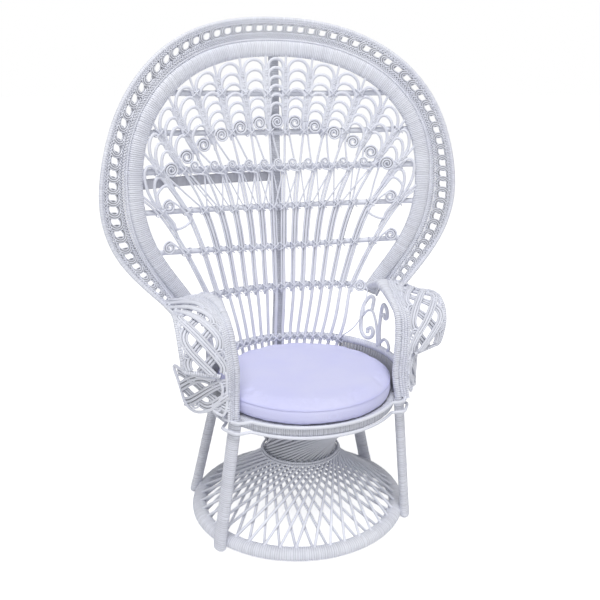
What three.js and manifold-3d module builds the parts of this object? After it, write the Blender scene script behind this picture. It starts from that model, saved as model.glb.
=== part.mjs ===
// A peacock chair of painted rattan. Two families of straight rods cross to make the pedestal, four
// legs stand outside it, a round seat carries a loose cushion, and a tall back fans out from the seat
// to a big hoop with a lace border. Woven cuffs wrap the arms.
// Millimetres: x to the right as seen from the front, the front is -y, z up.
import * as THREE from 'three';
import Module from 'manifold-3d';

const wasm = await Module();
wasm.setup();

// Clearances and facets
const CLEARANCE = 0.3; // between pieces that touch
const FLAT_ALLOWANCE = 0.5; // more clearance where bent rods have flats
const ROUND_SIDES = 5; // sides of a thin round rod
const EDGE_ROUNDING = 0.6; // rounding of a flat bundle's edge for a half thickness of one
const HOOP_STEPS = 40; // straight lengths in the round hoops
const FAN_STEPS = 36; // and in the fan's long hoops
const HALVINGS = 40; // steps of each search for a place along a curve

// Floor hoop
const FLOOR_RADIUS = 315; // centre line
const FLOOR_TUBE = 22; // radius of the wrapped bundle
const FLOOR_FLAT = 2; // worn flat underneath
const RING_DEPTH = 0.95; // depth of every round hoop for a width of one

// Seat
const SEAT_TOP = 416; // height of the seat hoop's top
const SEAT_FORWARD = 45; // how far the seat stands in front of the floor hoop
const SEAT_RADIUS = 267; // centre line of the seat hoop
const SEAT_HOOP_WIDTH = 18;
const SEAT_HOOP_HEIGHT = 28;
const SEAT_CORD = 4.5; // radius of the two cords round the seat
const DECK_THICKNESS = 8;
const CUSHION_RADIUS = 264;
const CUSHION_THICKNESS = 66;
const CUSHION_EDGE = 18; // how far the cushion draws in below its widest line

// Pedestal rods
const ROD_COUNT = 40; // rods in each family
const ROD_SIDES = 4;
const THROAT_RADIUS = 101; // axis of the outer family at its narrowest
const ROD_LAP = 1.07; // rod width for a spacing of one where they crowd together
const ROD_FOOT_RISE = 0.65; // height of the outer rods' feet in the floor hoop's bundle
const ROD_HEAD_OUT = 2; // how far outside the seat hoop's centre line the outer rods end
const ROD_FOOT_INSET = 3; // how far inside the floor hoop's centre line the outer rods end
const ROD_SPREAD = 18; // height between the ends of the two families
const WAIST_CORD = 3; // radius of each waist cord
const WAIST_Z = 209; // height of the pair

// Legs
const LEG_WIDTH = 41; // along the hoop: two poles bound side by side
const LEG_THICKNESS = 28;
const FRONT_FOOT_ANGLE = 32; // from the side, toward the front
const REAR_FOOT_ANGLE = 29; // from the side, toward the back
const FRONT_TOP_ANGLE = 32.4;
const REAR_TOP_ANGLE = 43.5;
const LEG_OVERRUN = 0.05; // share by which a leg is first made too long at each end
const CORD_HOLD = 0.75; // the seat cords stay out for this share of a leg's width to each side
const CORD_RETURN = 2.5; // and are back at the hoop after that many times as far

// Fan: the sheet in which the ribs lie
const RIB_WIDTH = 15; // two rods side by side
const RIB_THICKNESS = 7.5;
const RIBS_PER_SIDE = 8;
const RIB_SEAT_RADIUS = 271; // where the ribs stand on the seat hoop
const FAN_ROOT = 450; // height at which the fan's own line starts
const FAN_ROOT_Y = 184;
const FAN_RECLINE = 0.0737;
const FAN_CURVE = 0.000337; // forward sweep of the sides at the root
const FAN_CURVE_RISE = 0.00000035; // and its growth with height

// Big hoop of the fan, measured on its inner edge
const HOOP_HALF_WIDTH = 427;
const HOOP_MIDDLE = 1000; // height of its widest place
const HOOP_RISE = 375; // from there to the top of the inner edge
const HOOP_SQUARENESS = 2.3; // exponent of the upper outline
const HOOP_FOOT_X = 282; // where the inner edge ends
const HOOP_FOOT_Z = 658;
const HOOP_FOOT_SLOPE = 0.66; // sideways for each unit of height at that end
const HOOP_BOW = 150; // reach of the lower outline's handles
const BAND_WIDTH = 44;
const BAND_THICKNESS = 24;
const BAND_DEPTH = 5; // middle of the band behind the ribs' middle
const TRIM_ROD = 3.7; // radius of the trim rod round the band
const LACE_WIDTH = 48;
const LACE_THICKNESS = 8;
const LACE_CELLS = 17; // cells in each quarter
const LACE_OPENING = 0.62; // gap of each cell for a cell of one
const OUTER_RIM = 6; // radius
const BORDER_END_Z = 652; // height at which the border stops
const BAND_END_Z = 640;

// Rails: height on the centre line and how far the ends rise, top to bottom
const RAIL_RADIUS = 9;
const RAILS = [[1267, 4], [1152, 11], [1046, 8], [925, 12], [798, 17], [668, -9]];
const SEAT_RAIL_Z = 490; // the rail that wraps round the seat
const SEAT_RAIL_ANGLE = 31; // how far it runs past the sides toward the front
const RAIL_OVERRUN = [0.2, 0.5]; // share of the band that upper and lower rails reach across
const WRAP_MARGIN = 15; // ribs follow the seat up to this far above that rail

// Rib spacing at the seat, the seat rail, the sixth and fourth rails and the hoop
const RIB_SEAT = [11, 22.7];
const RIB_SEAT_RAIL = [12, 24.7];
const RIB_RAIL_6 = [13, 32.3];
const RIB_RAIL_4 = [18, 38];
const RIB_RAIL_4_SPREAD = 1.25;
const RIB_HOOP = [32, 82];
const LAST_RIB_SPREAD = 0.45; // the outermost rib stands this share of a step further out

// Curls and scallops
const CURL_RADIUS = 17.5;
const CURL_ROD = 3; // radius
const CURL_EYE = 5.4; // radius at which a curl ends
const CURL_TURNS = 1.6;
const CURL_TOP = 1183; // height of the curls on the centre line
const CURL_DROP = 0.0011; // fall of their line toward the sides
const CURL_STEM = 15; // stems start this far below the third rail
const SIDE_CURL_Z = 952;
const BAY_SPREAD = 1.15; // how much further out a bay is at the hoop than at its curl
const SCALLOP_PITCH = 36;
const SCALLOP_RISE = 15;
const SCALLOP_ROD = 2.5; // radius

// Back post and brace
const POST_WIDTH = 27;
const POST_THICKNESS = 10;
const POST_TOP = 1400;
const POST_FOOT = 392;
const BRACE_HEIGHT = 30;
const BRACE_THICKNESS = 8;
const BRACE_Z = 1018;
const BRACE_END = 462; // distance of its end from the centre line

// Arms
const ARM_TOP = 668; // middle of the bow on top
const ARM_POST_X = 240;
const ARM_POST_Y = -184;
const ARM_BEND_Y = -110; // where the bow starts to turn down
const ARM_REAR_Y = 90;
const BOW_LEAVING = [0.16, 0.44]; // share of the way in to the post at the two places on the level
// The bow's turn: share of the way in to the post, then distance behind it and fall for a bend of one
const BOW_BENDS = [[0.74, 1, 0.16], [0.92, 0.35, 0.62], [1, 0.1, 1.3], [1, 0, 2.2]];
const BOW_OVERRUN = 0.04; // share by which the bow is first made too long
const BOW_NARROWS = [0.1, 0.55]; // shares of its length between which it grows narrower
const CUFF_START = 0.1; // share of the bow at which the cuff starts
const BOW_WIDTH = 28; // at the front post; at the fan it is as wide as the band
const BOW_THICKNESS = 20;
const BOW_SINK = 3; // how far the bow is let into the band
const ARM_TRIM = 4; // radius of each of the two trim rods
const TRIM_START = 0.05; // share of the bow left bare at the fan
const CUFF_EDGE_X = 385; // outer edge of the cuff
const CUFF_FLARE = 14; // wider at the back
const CUFF_FRONT_Y = -180;
const CUFF_BOTTOM = 562;
const CUFF_THICKNESS = 6;
const CUFF_COLUMNS = 7;
const CUFF_ROWS = 2;
const CUFF_RIM = 5; // radius
const SKIRT_TOP = 512;
const SKIRT_BOTTOM = 440;
const SKIRT_EAR = [376, -34, 492];
const SKIRT_CORNER = [356, -55, 402];
const SKIRT_COLUMNS = 3;
const SKIRT_ROWS = 2;
const WEAVE_OPENING = 0.5; // gap of each diamond for a cell of one
const SCROLL_ROD = 4; // radius
const SCROLL_LEGS = [80, 42, 14, -24]; // y of the four legs of the scroll rod
const SCROLL_DIP = 30; // height of its middle dip above the seat rail

const SEAT_MIDDLE = SEAT_TOP - SEAT_HOOP_HEIGHT / 2;
const FLOOR_HEIGHT = FLOOR_TUBE - FLOOR_FLAT;
const RAIL_DEPTH = RIB_THICKNESS / 2 + CLEARANCE + FLAT_ALLOWANCE + RAIL_RADIUS;
const LARGE = 4000; // bigger than the chair, for cutting blocks

const rattan = [0xe2e4ef, 0.62];
const shadedRattan = [0xc9cbd8, 0.7];
const cloth = [0xcfcffa, 0.85];

const chair = new THREE.Group();
chair.name = 'peacock_chair';

const radians = THREE.MathUtils.degToRad;
const lerp = THREE.MathUtils.lerp;
const vector = (x, y, z) => new THREE.Vector3(x, y, z);

function addMesh(name, geometry, [color, roughness]) {
  const material = new THREE.MeshStandardMaterial({ color, roughness, metalness: 0 });
  geometry.computeVertexNormals();
  const mesh = new THREE.Mesh(geometry, material);
  mesh.name = name;
  chair.add(mesh);
}

// Geometry from points and triangles, turned so that its faces point out
function closedGeometry(points, triangles) {
  let volume = 0;
  for (const [a, b, c] of triangles) {
    volume += points[a].dot(vector(0, 0, 0).crossVectors(points[b], points[c]));
  }
  const order = volume < 0 ? triangles.map(([a, b, c]) => [a, c, b]) : triangles;
  const geometry = new THREE.BufferGeometry();
  geometry.setAttribute('position', new THREE.Float32BufferAttribute(points.flatMap((p) => p.toArray()), 3));
  geometry.setIndex(order.flat());
  return geometry;
}

function toSolid(geometry) {
  const vertProperties = Float32Array.from(geometry.attributes.position.array);
  const triVerts = Uint32Array.from(geometry.index.array);
  return new wasm.Manifold(new wasm.Mesh({ numProp: 3, vertProperties, triVerts }));
}

function fromSolid(solid) {
  const mesh = solid.getMesh();
  const points = [];
  for (let i = 0; i < mesh.vertProperties.length; i += mesh.numProp) {
    points.push(vector(...mesh.vertProperties.slice(i, i + 3)));
  }
  const triangles = [];
  for (let i = 0; i < mesh.triVerts.length; i += 3) {
    triangles.push([...mesh.triVerts.slice(i, i + 3)]);
  }
  return closedGeometry(points, triangles);
}

function fuse(geometries) {
  return geometries.map(toSolid).reduce((whole, piece) => whole.add(piece));
}

// Cuts a geometry back from others that already carry the clearance
function cutBack(geometry, others) {
  const start = geometry.isBufferGeometry ? toSolid(geometry) : geometry;
  return fromSolid(others.reduce((rest, other) => rest.subtract(toSolid(other)), start));
}

function blockAbove(z) {
  const block = new THREE.BoxGeometry(LARGE, LARGE, LARGE);
  block.translate(0, 0, z + LARGE / 2);
  return weldedBox(block);
}

function blockBelow(z) {
  const block = new THREE.BoxGeometry(LARGE, LARGE, LARGE);
  block.translate(0, 0, z - LARGE / 2);
  return weldedBox(block);
}

// A box whose eight corners are shared
function weldedBox(box) {
  const position = box.attributes.position;
  const points = [];
  const place = [];
  for (let i = 0; i < position.count; i++) {
    const corner = vector(position.getX(i), position.getY(i), position.getZ(i));
    const known = points.findIndex((p) => p.distanceTo(corner) < CLEARANCE);
    place.push(known < 0 ? points.push(corner) - 1 : known);
  }
  const triangles = [];
  for (let i = 0; i < box.index.count; i += 3) {
    triangles.push([0, 1, 2].map((k) => place[box.index.getX(i + k)]));
  }
  return closedGeometry(points, triangles);
}

// Carries an outline along a path. The outline's first axis follows the given direction.
function sweep(path, outlineAt, acrossAt, closed = false) {
  const count = path.length;
  const points = [];
  path.forEach((point, i) => {
    const before = path[closed ? (i + count - 1) % count : Math.max(i - 1, 0)];
    const after = path[closed ? (i + 1) % count : Math.min(i + 1, count - 1)];
    const along = after.clone().sub(before).normalize();
    const across = acrossAt(i).clone();
    across.addScaledVector(along, -across.dot(along)).normalize();
    const up = vector(0, 0, 0).crossVectors(across, along);
    for (const [p, q] of outlineAt(i)) {
      points.push(point.clone().addScaledVector(across, p).addScaledVector(up, q));
    }
  });
  const sides = points.length / count;
  const triangles = [];
  for (let i = 0; i < (closed ? count : count - 1); i++) {
    for (let k = 0; k < sides; k++) {
      const a = i * sides + k;
      const b = i * sides + ((k + 1) % sides);
      const shift = (((i + 1) % count) - i) * sides;
      triangles.push([a, b, b + shift], [a, b + shift, a + shift]);
    }
  }
  if (!closed) {
    const last = (count - 1) * sides;
    for (let k = 1; k < sides - 1; k++) {
      triangles.push([0, k + 1, k], [last, last + k, last + k + 1]);
    }
  }
  return closedGeometry(points, triangles);
}

function roundOutline(radius, sides = ROUND_SIDES) {
  return Array.from({ length: sides }, (_, k) => {
    const angle = (k * 2 * Math.PI) / sides;
    return [radius * Math.cos(angle), radius * Math.sin(angle)];
  });
}

function ovalOutline(width, thickness, sides) {
  return roundOutline(1, sides).map(([p, q]) => [(p * width) / 2, (q * thickness) / 2]);
}

// A flat bundle with rounded edges
function flatOutline(width, thickness) {
  const w = width / 2;
  const t = thickness / 2;
  const shoulder = w - t * EDGE_ROUNDING;
  return [[w, 0], [shoulder, t], [-shoulder, t], [-w, 0], [-shoulder, -t], [shoulder, -t]];
}

function stripOutline(width, thickness) {
  return [[1, 1], [-1, 1], [-1, -1], [1, -1]].map(([p, q]) => [(p * width) / 2, (q * thickness) / 2]);
}

function sampleCurve(points, steps) {
  return new THREE.CatmullRomCurve3(points, false, 'centripetal').getPoints(steps);
}

// Round hoops lie about an axis that leans forward from the floor to the seat.
const axisY = (z) => (-SEAT_FORWARD * z) / SEAT_TOP;

function ringPoint(radius, degrees, z, centreY = axisY(z)) {
  const angle = radians(degrees);
  return vector(radius * Math.cos(angle), centreY + RING_DEPTH * radius * Math.sin(angle), z);
}

function ringSweep(outline, z, steps, radiusAt, centreY = axisY(z)) {
  const angles = Array.from({ length: steps }, (_, i) => (i * 360) / steps);
  const path = angles.map((a) => ringPoint(radiusAt(a), a, z, centreY));
  const across = (i) => vector(Math.cos(radians(angles[i])), RING_DEPTH * Math.sin(radians(angles[i])), 0);
  return sweep(path, () => outline, across, true);
}

// Floor hoop, with a flat underside
function floorHoop(grow) {
  const tube = FLOOR_TUBE + grow;
  const flat = Math.asin(FLOOR_HEIGHT / FLOOR_TUBE);
  const sides = 8;
  const outline = Array.from({ length: sides }, (_, k) => {
    const angle = lerp(-flat, Math.PI + flat, k / (sides - 1));
    return [tube * Math.cos(angle), tube * Math.sin(angle)];
  });
  return ringSweep(outline, FLOOR_HEIGHT, HOOP_STEPS, () => FLOOR_RADIUS);
}

function seatHoop(grow) {
  const outline = stripOutline(SEAT_HOOP_WIDTH + 2 * grow, SEAT_HOOP_HEIGHT + 2 * grow);
  return ringSweep(outline, SEAT_MIDDLE, HOOP_STEPS, () => SEAT_RADIUS, -SEAT_FORWARD);
}

// Straight rods leaning one way. Their common twist is found from the throat that they must leave.
function rodFamily(turn, foot, head, throat) {
  const chord = (twist) => Math.sqrt(foot.r ** 2 + head.r ** 2 - 2 * foot.r * head.r * Math.cos(twist));
  const throatFor = (twist) => (foot.r * head.r * Math.sin(twist)) / chord(twist);
  let low = Math.PI / 2;
  let high = Math.PI;
  for (let k = 0; k < HALVINGS; k++) {
    const middle = (low + high) / 2;
    if (throatFor(middle) > throat) {
      low = middle;
    } else {
      high = middle;
    }
  }
  const twist = THREE.MathUtils.radToDeg(low);
  const run = chord(low);
  const rise = head.z - foot.z;
  const share = (foot.r * (foot.r - head.r * Math.cos(low))) / run ** 2;
  const spacing = ((2 * Math.PI * throat) / ROD_COUNT) * (rise / Math.hypot(rise, run));
  const radius = (spacing * ROD_LAP) / 2;
  const endsOf = (i) => {
    const start = (i * 360) / ROD_COUNT;
    return [ringPoint(foot.r, start, foot.z), ringPoint(head.r, start + turn * twist, head.z)];
  };
  const outwardAtThroat = (i) => {
    const [low, high] = endsOf(i);
    return low.lerp(high, share).setZ(0).sub(vector(0, axisY(foot.z + share * rise), 0));
  };
  const rod = (i, grow) => {
    const ends = endsOf(i);
    const across = outwardAtThroat(i).cross(ends[1].clone().sub(ends[0]));
    return sweep(ends, () => roundOutline(radius + grow, ROD_SIDES), () => across);
  };
  const isLeft = (i) => outwardAtThroat((i + ROD_COUNT) % ROD_COUNT).x < 0;
  const reachAt = (z) => Math.hypot(throat, ((z - foot.z - share * rise) * run) / rise);
  return { rod, isLeft, radius, reachAt };
}

// A family in two halves, told apart by the side on which the rods pass the throat. The left half
// stands clear of the right half's end rods.
function addRodFamily(name, { rod, isLeft }, stops) {
  const all = Array.from({ length: ROD_COUNT }, (_, i) => i);
  const left = all.filter(isLeft);
  const right = all.filter((i) => !isLeft(i));
  const ends = right.filter((i) => isLeft(i - 1) || isLeft(i + 1));
  const leftStops = [...stops, ...ends.map((i) => rod(i, CLEARANCE))];
  addMesh(`${name}_left`, cutBack(fuse(left.map((i) => rod(i, 0))), leftStops), rattan);
  addMesh(`${name}_right`, cutBack(fuse(right.map((i) => rod(i, 0))), stops), rattan);
}

const outerFoot = { r: FLOOR_RADIUS - ROD_FOOT_INSET, z: FLOOR_HEIGHT + FLOOR_TUBE * ROD_FOOT_RISE };
const outerHead = { r: SEAT_RADIUS + ROD_HEAD_OUT, z: SEAT_MIDDLE - ROD_SPREAD / 2 };
const outerRods = rodFamily(1, outerFoot, outerHead, THROAT_RADIUS);
const innerFoot = { r: outerFoot.r - ROD_SPREAD / 2, z: outerFoot.z - ROD_SPREAD };
const innerHead = { r: outerHead.r - ROD_SPREAD / 3, z: outerHead.z + ROD_SPREAD };
const innerThroat = THROAT_RADIUS - 2 * outerRods.radius - CLEARANCE - FLAT_ALLOWANCE;
const innerRods = rodFamily(-1, innerFoot, innerHead, innerThroat);

addMesh('floor_hoop', floorHoop(0), rattan);
addMesh('seat_hoop', seatHoop(0), rattan);
const deckFoot = SEAT_TOP - DECK_THICKNESS;
const rodStops = [floorHoop(CLEARANCE), seatHoop(CLEARANCE), blockAbove(deckFoot - CLEARANCE)];
addRodFamily('pedestal_rods_outer', outerRods, rodStops);
addRodFamily('pedestal_rods_inner', innerRods, rodStops);

// Two cords side by side round the waist, clear of the rods where these flare below
const waistSteps = 24;
const waistReach = outerRods.radius + CLEARANCE + FLAT_ALLOWANCE + WAIST_CORD;
const waistRods = outerRods.reachAt(WAIST_Z - WAIST_CORD);
const waistRadius = (waistRods + waistReach / RING_DEPTH) / Math.cos(Math.PI / waistSteps);
const waistOutline = flatOutline(4 * WAIST_CORD, 2 * WAIST_CORD).map(([p, q]) => [q, p]);
addMesh('waist_hoop', ringSweep(waistOutline, WAIST_Z, waistSteps, () => waistRadius), rattan);

// Legs lean in from beside the floor hoop to the seat hoop's outer face.
const legTopRadius = SEAT_RADIUS + SEAT_HOOP_WIDTH / 2 + CLEARANCE + LEG_THICKNESS / 2;
const legLean = (FLOOR_RADIUS - legTopRadius + LEG_THICKNESS) / SEAT_TOP;
const legReach = (FLOOR_TUBE + CLEARANCE + LEG_THICKNESS / 2) * Math.hypot(1, legLean);
const footRadius = FLOOR_RADIUS + legReach + FLOOR_HEIGHT * legLean;
const seatPoint = (radius, degrees, z) => ringPoint(radius, degrees, z, -SEAT_FORWARD);
const sides = [['left', -1], ['right', 1]];

function leg(footAngle, topAngle, grow) {
  const foot = ringPoint(footRadius, footAngle, 0, 0);
  const top = seatPoint(legTopRadius, topAngle, SEAT_TOP);
  const below = foot.clone().addScaledVector(top.clone().sub(foot), -LEG_OVERRUN);
  const above = foot.clone().addScaledVector(top.clone().sub(foot), 1 + LEG_OVERRUN);
  const angle = radians(topAngle);
  const across = vector(-Math.sin(angle), Math.cos(angle), 0);
  const outline = ovalOutline(LEG_WIDTH + 2 * grow, LEG_THICKNESS + 2 * grow, 10);
  const pole = sweep([below, above], () => outline, () => across);
  return cutBack(pole, [blockBelow(0), blockAbove(SEAT_TOP), floorHoop(CLEARANCE), seatHoop(CLEARANCE)]);
}

const legStops = [];
for (const [side, sign] of sides) {
  const turned = (angle) => (sign > 0 ? angle : 180 - angle);
  const front = [turned(-FRONT_FOOT_ANGLE), turned(-FRONT_TOP_ANGLE)];
  const rear = [turned(REAR_FOOT_ANGLE), turned(REAR_TOP_ANGLE)];
  addMesh(`leg_front_${side}`, leg(...front, 0), rattan);
  addMesh(`leg_rear_${side}`, leg(...rear, 0), rattan);
  legStops.push(leg(...front, CLEARANCE), leg(...rear, CLEARANCE));
}

// The seat cords run round the seat hoop and loop out round each leg.
function seatCord(z) {
  const plain = SEAT_RADIUS + (SEAT_HOOP_WIDTH / 2 + CLEARANCE + FLAT_ALLOWANCE + SEAT_CORD) / RING_DEPTH;
  const legAngles = [-FRONT_TOP_ANGLE, REAR_TOP_ANGLE, 180 - REAR_TOP_ANGLE, 180 + FRONT_TOP_ANGLE];
  const loop = LEG_THICKNESS + CLEARANCE * 2 + (footRadius - legTopRadius) * (1 - z / SEAT_TOP);
  const hold = THREE.MathUtils.radToDeg((LEG_WIDTH * CORD_HOLD) / legTopRadius);
  const radiusAt = (degrees) => {
    const away = Math.min(...legAngles.map((a) => Math.abs(((degrees - a + 540) % 360) - 180)));
    return plain + Math.max(loop, 0) * (1 - THREE.MathUtils.smoothstep(away, hold, hold * CORD_RETURN));
  };
  return cutBack(ringSweep(roundOutline(SEAT_CORD, 4), z, 60, radiusAt, -SEAT_FORWARD), legStops);
}

addMesh('seat_cord_upper', seatCord(SEAT_TOP + SEAT_CORD / 2), rattan);
addMesh('seat_cord_lower', seatCord(SEAT_TOP - SEAT_HOOP_HEIGHT), rattan);

// Turned forms about the seat's axis, squeezed in depth as the hoops are
function turned(profile, steps) {
  const lathe = new THREE.LatheGeometry(profile.map(([r, z]) => new THREE.Vector2(r, z)), steps);
  lathe.rotateX(Math.PI / 2);
  lathe.scale(1, RING_DEPTH, 1);
  lathe.translate(0, -SEAT_FORWARD, 0);
  return weldedLathe(lathe, profile.length, steps);
}

// The lathe repeats its first column at the end and each pole for every column.
function weldedLathe(lathe, rows, steps) {
  const position = lathe.attributes.position;
  const at = (i) => vector(position.getX(i), position.getY(i), position.getZ(i));
  const points = [at(0), at(rows - 1)];
  const place = (column, row) => {
    if (row === 0 || row === rows - 1) {
      return row === 0 ? 0 : 1;
    }
    return 2 + (column % steps) * (rows - 2) + row - 1;
  };
  for (let column = 0; column < steps; column++) {
    for (let row = 1; row < rows - 1; row++) {
      points.push(at(column * rows + row));
    }
  }
  const triangles = [];
  for (let column = 0; column < steps; column++) {
    for (let row = 0; row < rows - 1; row++) {
      const [a, b] = [place(column, row), place(column, row + 1)];
      const [c, d] = [place(column + 1, row + 1), place(column + 1, row)];
      if (row > 0) {
        triangles.push([a, b, d]);
      }
      if (row < rows - 2) {
        triangles.push([b, c, d]);
      }
    }
  }
  return closedGeometry(points, triangles);
}

const deckRadius = SEAT_RADIUS - (SEAT_HOOP_WIDTH / 2 + CLEARANCE) / RING_DEPTH;
const deckProfile = [[0, deckFoot], [deckRadius, deckFoot], [deckRadius, SEAT_TOP], [0, SEAT_TOP]];
addMesh('seat_deck', turned(deckProfile, HOOP_STEPS), shadedRattan);

// Cushion: flat below, sides drawn in, crown on top
const cushionFoot = SEAT_TOP + CLEARANCE;
const cushionRing = (inset, share) => [CUSHION_RADIUS - inset, cushionFoot + share * CUSHION_THICKNESS];
addMesh('cushion', turned([
  [0, cushionFoot],
  cushionRing(CUSHION_EDGE, 0),
  cushionRing(CUSHION_EDGE * 0.35, 0.12),
  cushionRing(0, 0.36),
  cushionRing(CUSHION_EDGE * 0.2, 0.6),
  cushionRing(CUSHION_EDGE, 0.78),
  cushionRing(CUSHION_EDGE * 3, 0.9),
  cushionRing(CUSHION_RADIUS / 2, 0.97),
  [0, cushionFoot + CUSHION_THICKNESS],
], 36), cloth);

// The ribs' sheet: wrapped round the seat at the bottom, then the fan's own gentle curve
function sheetY(x, z) {
  const height = z - FAN_ROOT;
  const fan = FAN_ROOT_Y + FAN_RECLINE * height - (FAN_CURVE + FAN_CURVE_RISE * height) * x * x;
  const reach = Math.max(RIB_SEAT_RADIUS ** 2 - x * x, (RIB_SEAT_RADIUS / 3) ** 2);
  const wrap = -SEAT_FORWARD + RING_DEPTH * Math.sqrt(reach);
  const sixthRail = RAILS[RAILS.length - 1][0];
  return lerp(wrap, fan, THREE.MathUtils.smoothstep(z, SEAT_RAIL_Z + WRAP_MARGIN, sixthRail));
}

// Unit vector out of the back of the sheet
function sheetNormal(x, z) {
  const slopeX = sheetY(x + 0.5, z) - sheetY(x - 0.5, z);
  const slopeZ = sheetY(x, z + 0.5) - sheetY(x, z - 0.5);
  return vector(-slopeX, 1, -slopeZ).normalize();
}

function sheetPoint(x, z, depth = 0) {
  return vector(x, sheetY(x, z), z).addScaledVector(sheetNormal(x, z), depth);
}

// Right half of the hoop's inner edge, from the top down, with outward directions and length so far
const hoopEdge = (() => {
  const power = 2 / HOOP_SQUARENESS;
  const upper = Array.from({ length: 121 }, (_, i) => {
    const angle = (i / 120) * (Math.PI / 2);
    const x = HOOP_HALF_WIDTH * Math.sin(angle) ** power;
    return new THREE.Vector2(x, HOOP_MIDDLE + HOOP_RISE * Math.max(Math.cos(angle), 0) ** power);
  });
  const fall = new THREE.Vector2(HOOP_FOOT_SLOPE, 1).normalize().multiplyScalar(HOOP_BOW);
  const lower = new THREE.CubicBezierCurve(
    new THREE.Vector2(HOOP_HALF_WIDTH, HOOP_MIDDLE),
    new THREE.Vector2(HOOP_HALF_WIDTH, HOOP_MIDDLE - HOOP_BOW),
    new THREE.Vector2(HOOP_FOOT_X + fall.x, HOOP_FOOT_Z + fall.y),
    new THREE.Vector2(HOOP_FOOT_X, HOOP_FOOT_Z),
  );
  const end = new THREE.Vector2(HOOP_FOOT_X, HOOP_FOOT_Z).addScaledVector(fall, -0.4);
  const outline = [...upper, ...lower.getSpacedPoints(60).slice(1), end];
  return new THREE.SplineCurve(outline.filter((_, i) => i % 4 === 0 || i === outline.length - 1));
})();
const edgeLength = hoopEdge.getLength();

// Point of the fan at a length along the inner edge (left is negative), a way outward and a depth
function fanPoint(along, outward, depth) {
  const share = Math.min(Math.abs(along) / edgeLength, 1);
  const edge = hoopEdge.getPointAt(share);
  const tangent = share === 0 ? new THREE.Vector2(1, 0) : hoopEdge.getTangentAt(share);
  const out = new THREE.Vector2(-tangent.y, tangent.x);
  const steps = 6;
  for (let k = 0; k < steps; k++) {
    const ahead = edge.clone().add(out);
    const slope = sheetY(ahead.x, ahead.y) - sheetY(edge.x, edge.y);
    edge.addScaledVector(out, outward / steps / Math.hypot(1, slope));
  }
  return sheetPoint(along < 0 ? -edge.x : edge.x, edge.y, depth);
}

// Length along the edge at which a piece that far outward comes down to a height
function lengthAtHeight(outward, z) {
  let low = edgeLength / 2;
  let high = edgeLength;
  for (let k = 0; k < HALVINGS; k++) {
    const middle = (low + high) / 2;
    if (fanPoint(middle, outward, 0).z > z) {
      low = middle;
    } else {
      high = middle;
    }
  }
  return low;
}

function fanSweep(outline, outward, end, steps) {
  const lengths = Array.from({ length: steps + 1 }, (_, i) => lerp(-end, end, i / steps));
  const path = lengths.map((s) => fanPoint(s, outward, BAND_DEPTH));
  const acrossAt = (i) => fanPoint(lengths[i], outward + 1, BAND_DEPTH).sub(path[i]);
  return sweep(path, () => outline, acrossAt);
}

const bandMiddle = BAND_WIDTH / 2;
const trimMiddle = BAND_WIDTH + CLEARANCE + TRIM_ROD;
const laceStart = trimMiddle + TRIM_ROD + CLEARANCE;
const rimMiddle = laceStart + LACE_WIDTH + CLEARANCE + FLAT_ALLOWANCE + OUTER_RIM;
const bandEnd = lengthAtHeight(bandMiddle, BAND_END_Z);
const rimEnd = lengthAtHeight(rimMiddle, BORDER_END_Z);

function mainHoop(grow) {
  const outline = flatOutline(BAND_WIDTH + 2 * grow, BAND_THICKNESS + 2 * grow);
  return fanSweep(outline, bandMiddle, bandEnd, FAN_STEPS);
}

function hoopTrim(grow) {
  return fanSweep(roundOutline(TRIM_ROD + grow, 4), trimMiddle, bandEnd, FAN_STEPS);
}

function outerRim(grow) {
  return fanSweep(roundOutline(OUTER_RIM + grow), rimMiddle, rimEnd, FAN_STEPS);
}

addMesh('main_hoop', mainHoop(0), rattan);
addMesh('hoop_trim', hoopTrim(0), rattan);
addMesh('outer_rim', outerRim(0), rattan);

// A thin woven sheet: a grid of cells, each with a diamond gap, laid on a surface
function wovenSheet(surface, columns, rows, opening, thickness) {
  const points = [];
  const put = (u, v) => {
    const du = surface(u + 0.002, v).sub(surface(u - 0.002, v));
    const dv = surface(u, v + 0.002).sub(surface(u, v - 0.002));
    const normal = du.cross(dv).normalize();
    const middle = surface(u, v);
    const front = points.push(middle.clone().addScaledVector(normal, thickness / 2)) - 1;
    points.push(middle.clone().addScaledVector(normal, -thickness / 2));
    return front;
  };
  const corners = Array.from({ length: columns + 1 }, (_, i) =>
    Array.from({ length: rows + 1 }, (__, j) => put(i / columns, j / rows)));
  const triangles = [];
  const face = (a, b, c) => triangles.push([a, b, c], [a + 1, c + 1, b + 1]);
  const wall = (a, b) => triangles.push([a, b, b + 1], [a, b + 1, a + 1]);
  for (let i = 0; i < columns; i++) {
    for (let j = 0; j < rows; j++) {
      const cell = [corners[i][j], corners[i + 1][j], corners[i + 1][j + 1], corners[i][j + 1]];
      const reach = opening / 2;
      const gap = [[0.5, 0.5 - reach], [0.5 + reach, 0.5], [0.5, 0.5 + reach], [0.5 - reach, 0.5]].map(
        ([p, q]) => put((i + p) / columns, (j + q) / rows));
      for (let k = 0; k < 4; k++) {
        const next = (k + 1) % 4;
        face(cell[k], cell[next], gap[k]);
        face(cell[next], gap[next], gap[k]);
        wall(gap[k], gap[next]);
      }
      if (j === 0) {
        wall(cell[1], cell[0]);
      }
      if (i === columns - 1) {
        wall(cell[2], cell[1]);
      }
      if (j === rows - 1) {
        wall(cell[3], cell[2]);
      }
      if (i === 0) {
        wall(cell[0], cell[3]);
      }
    }
  }
  return closedGeometry(points, triangles);
}

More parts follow.
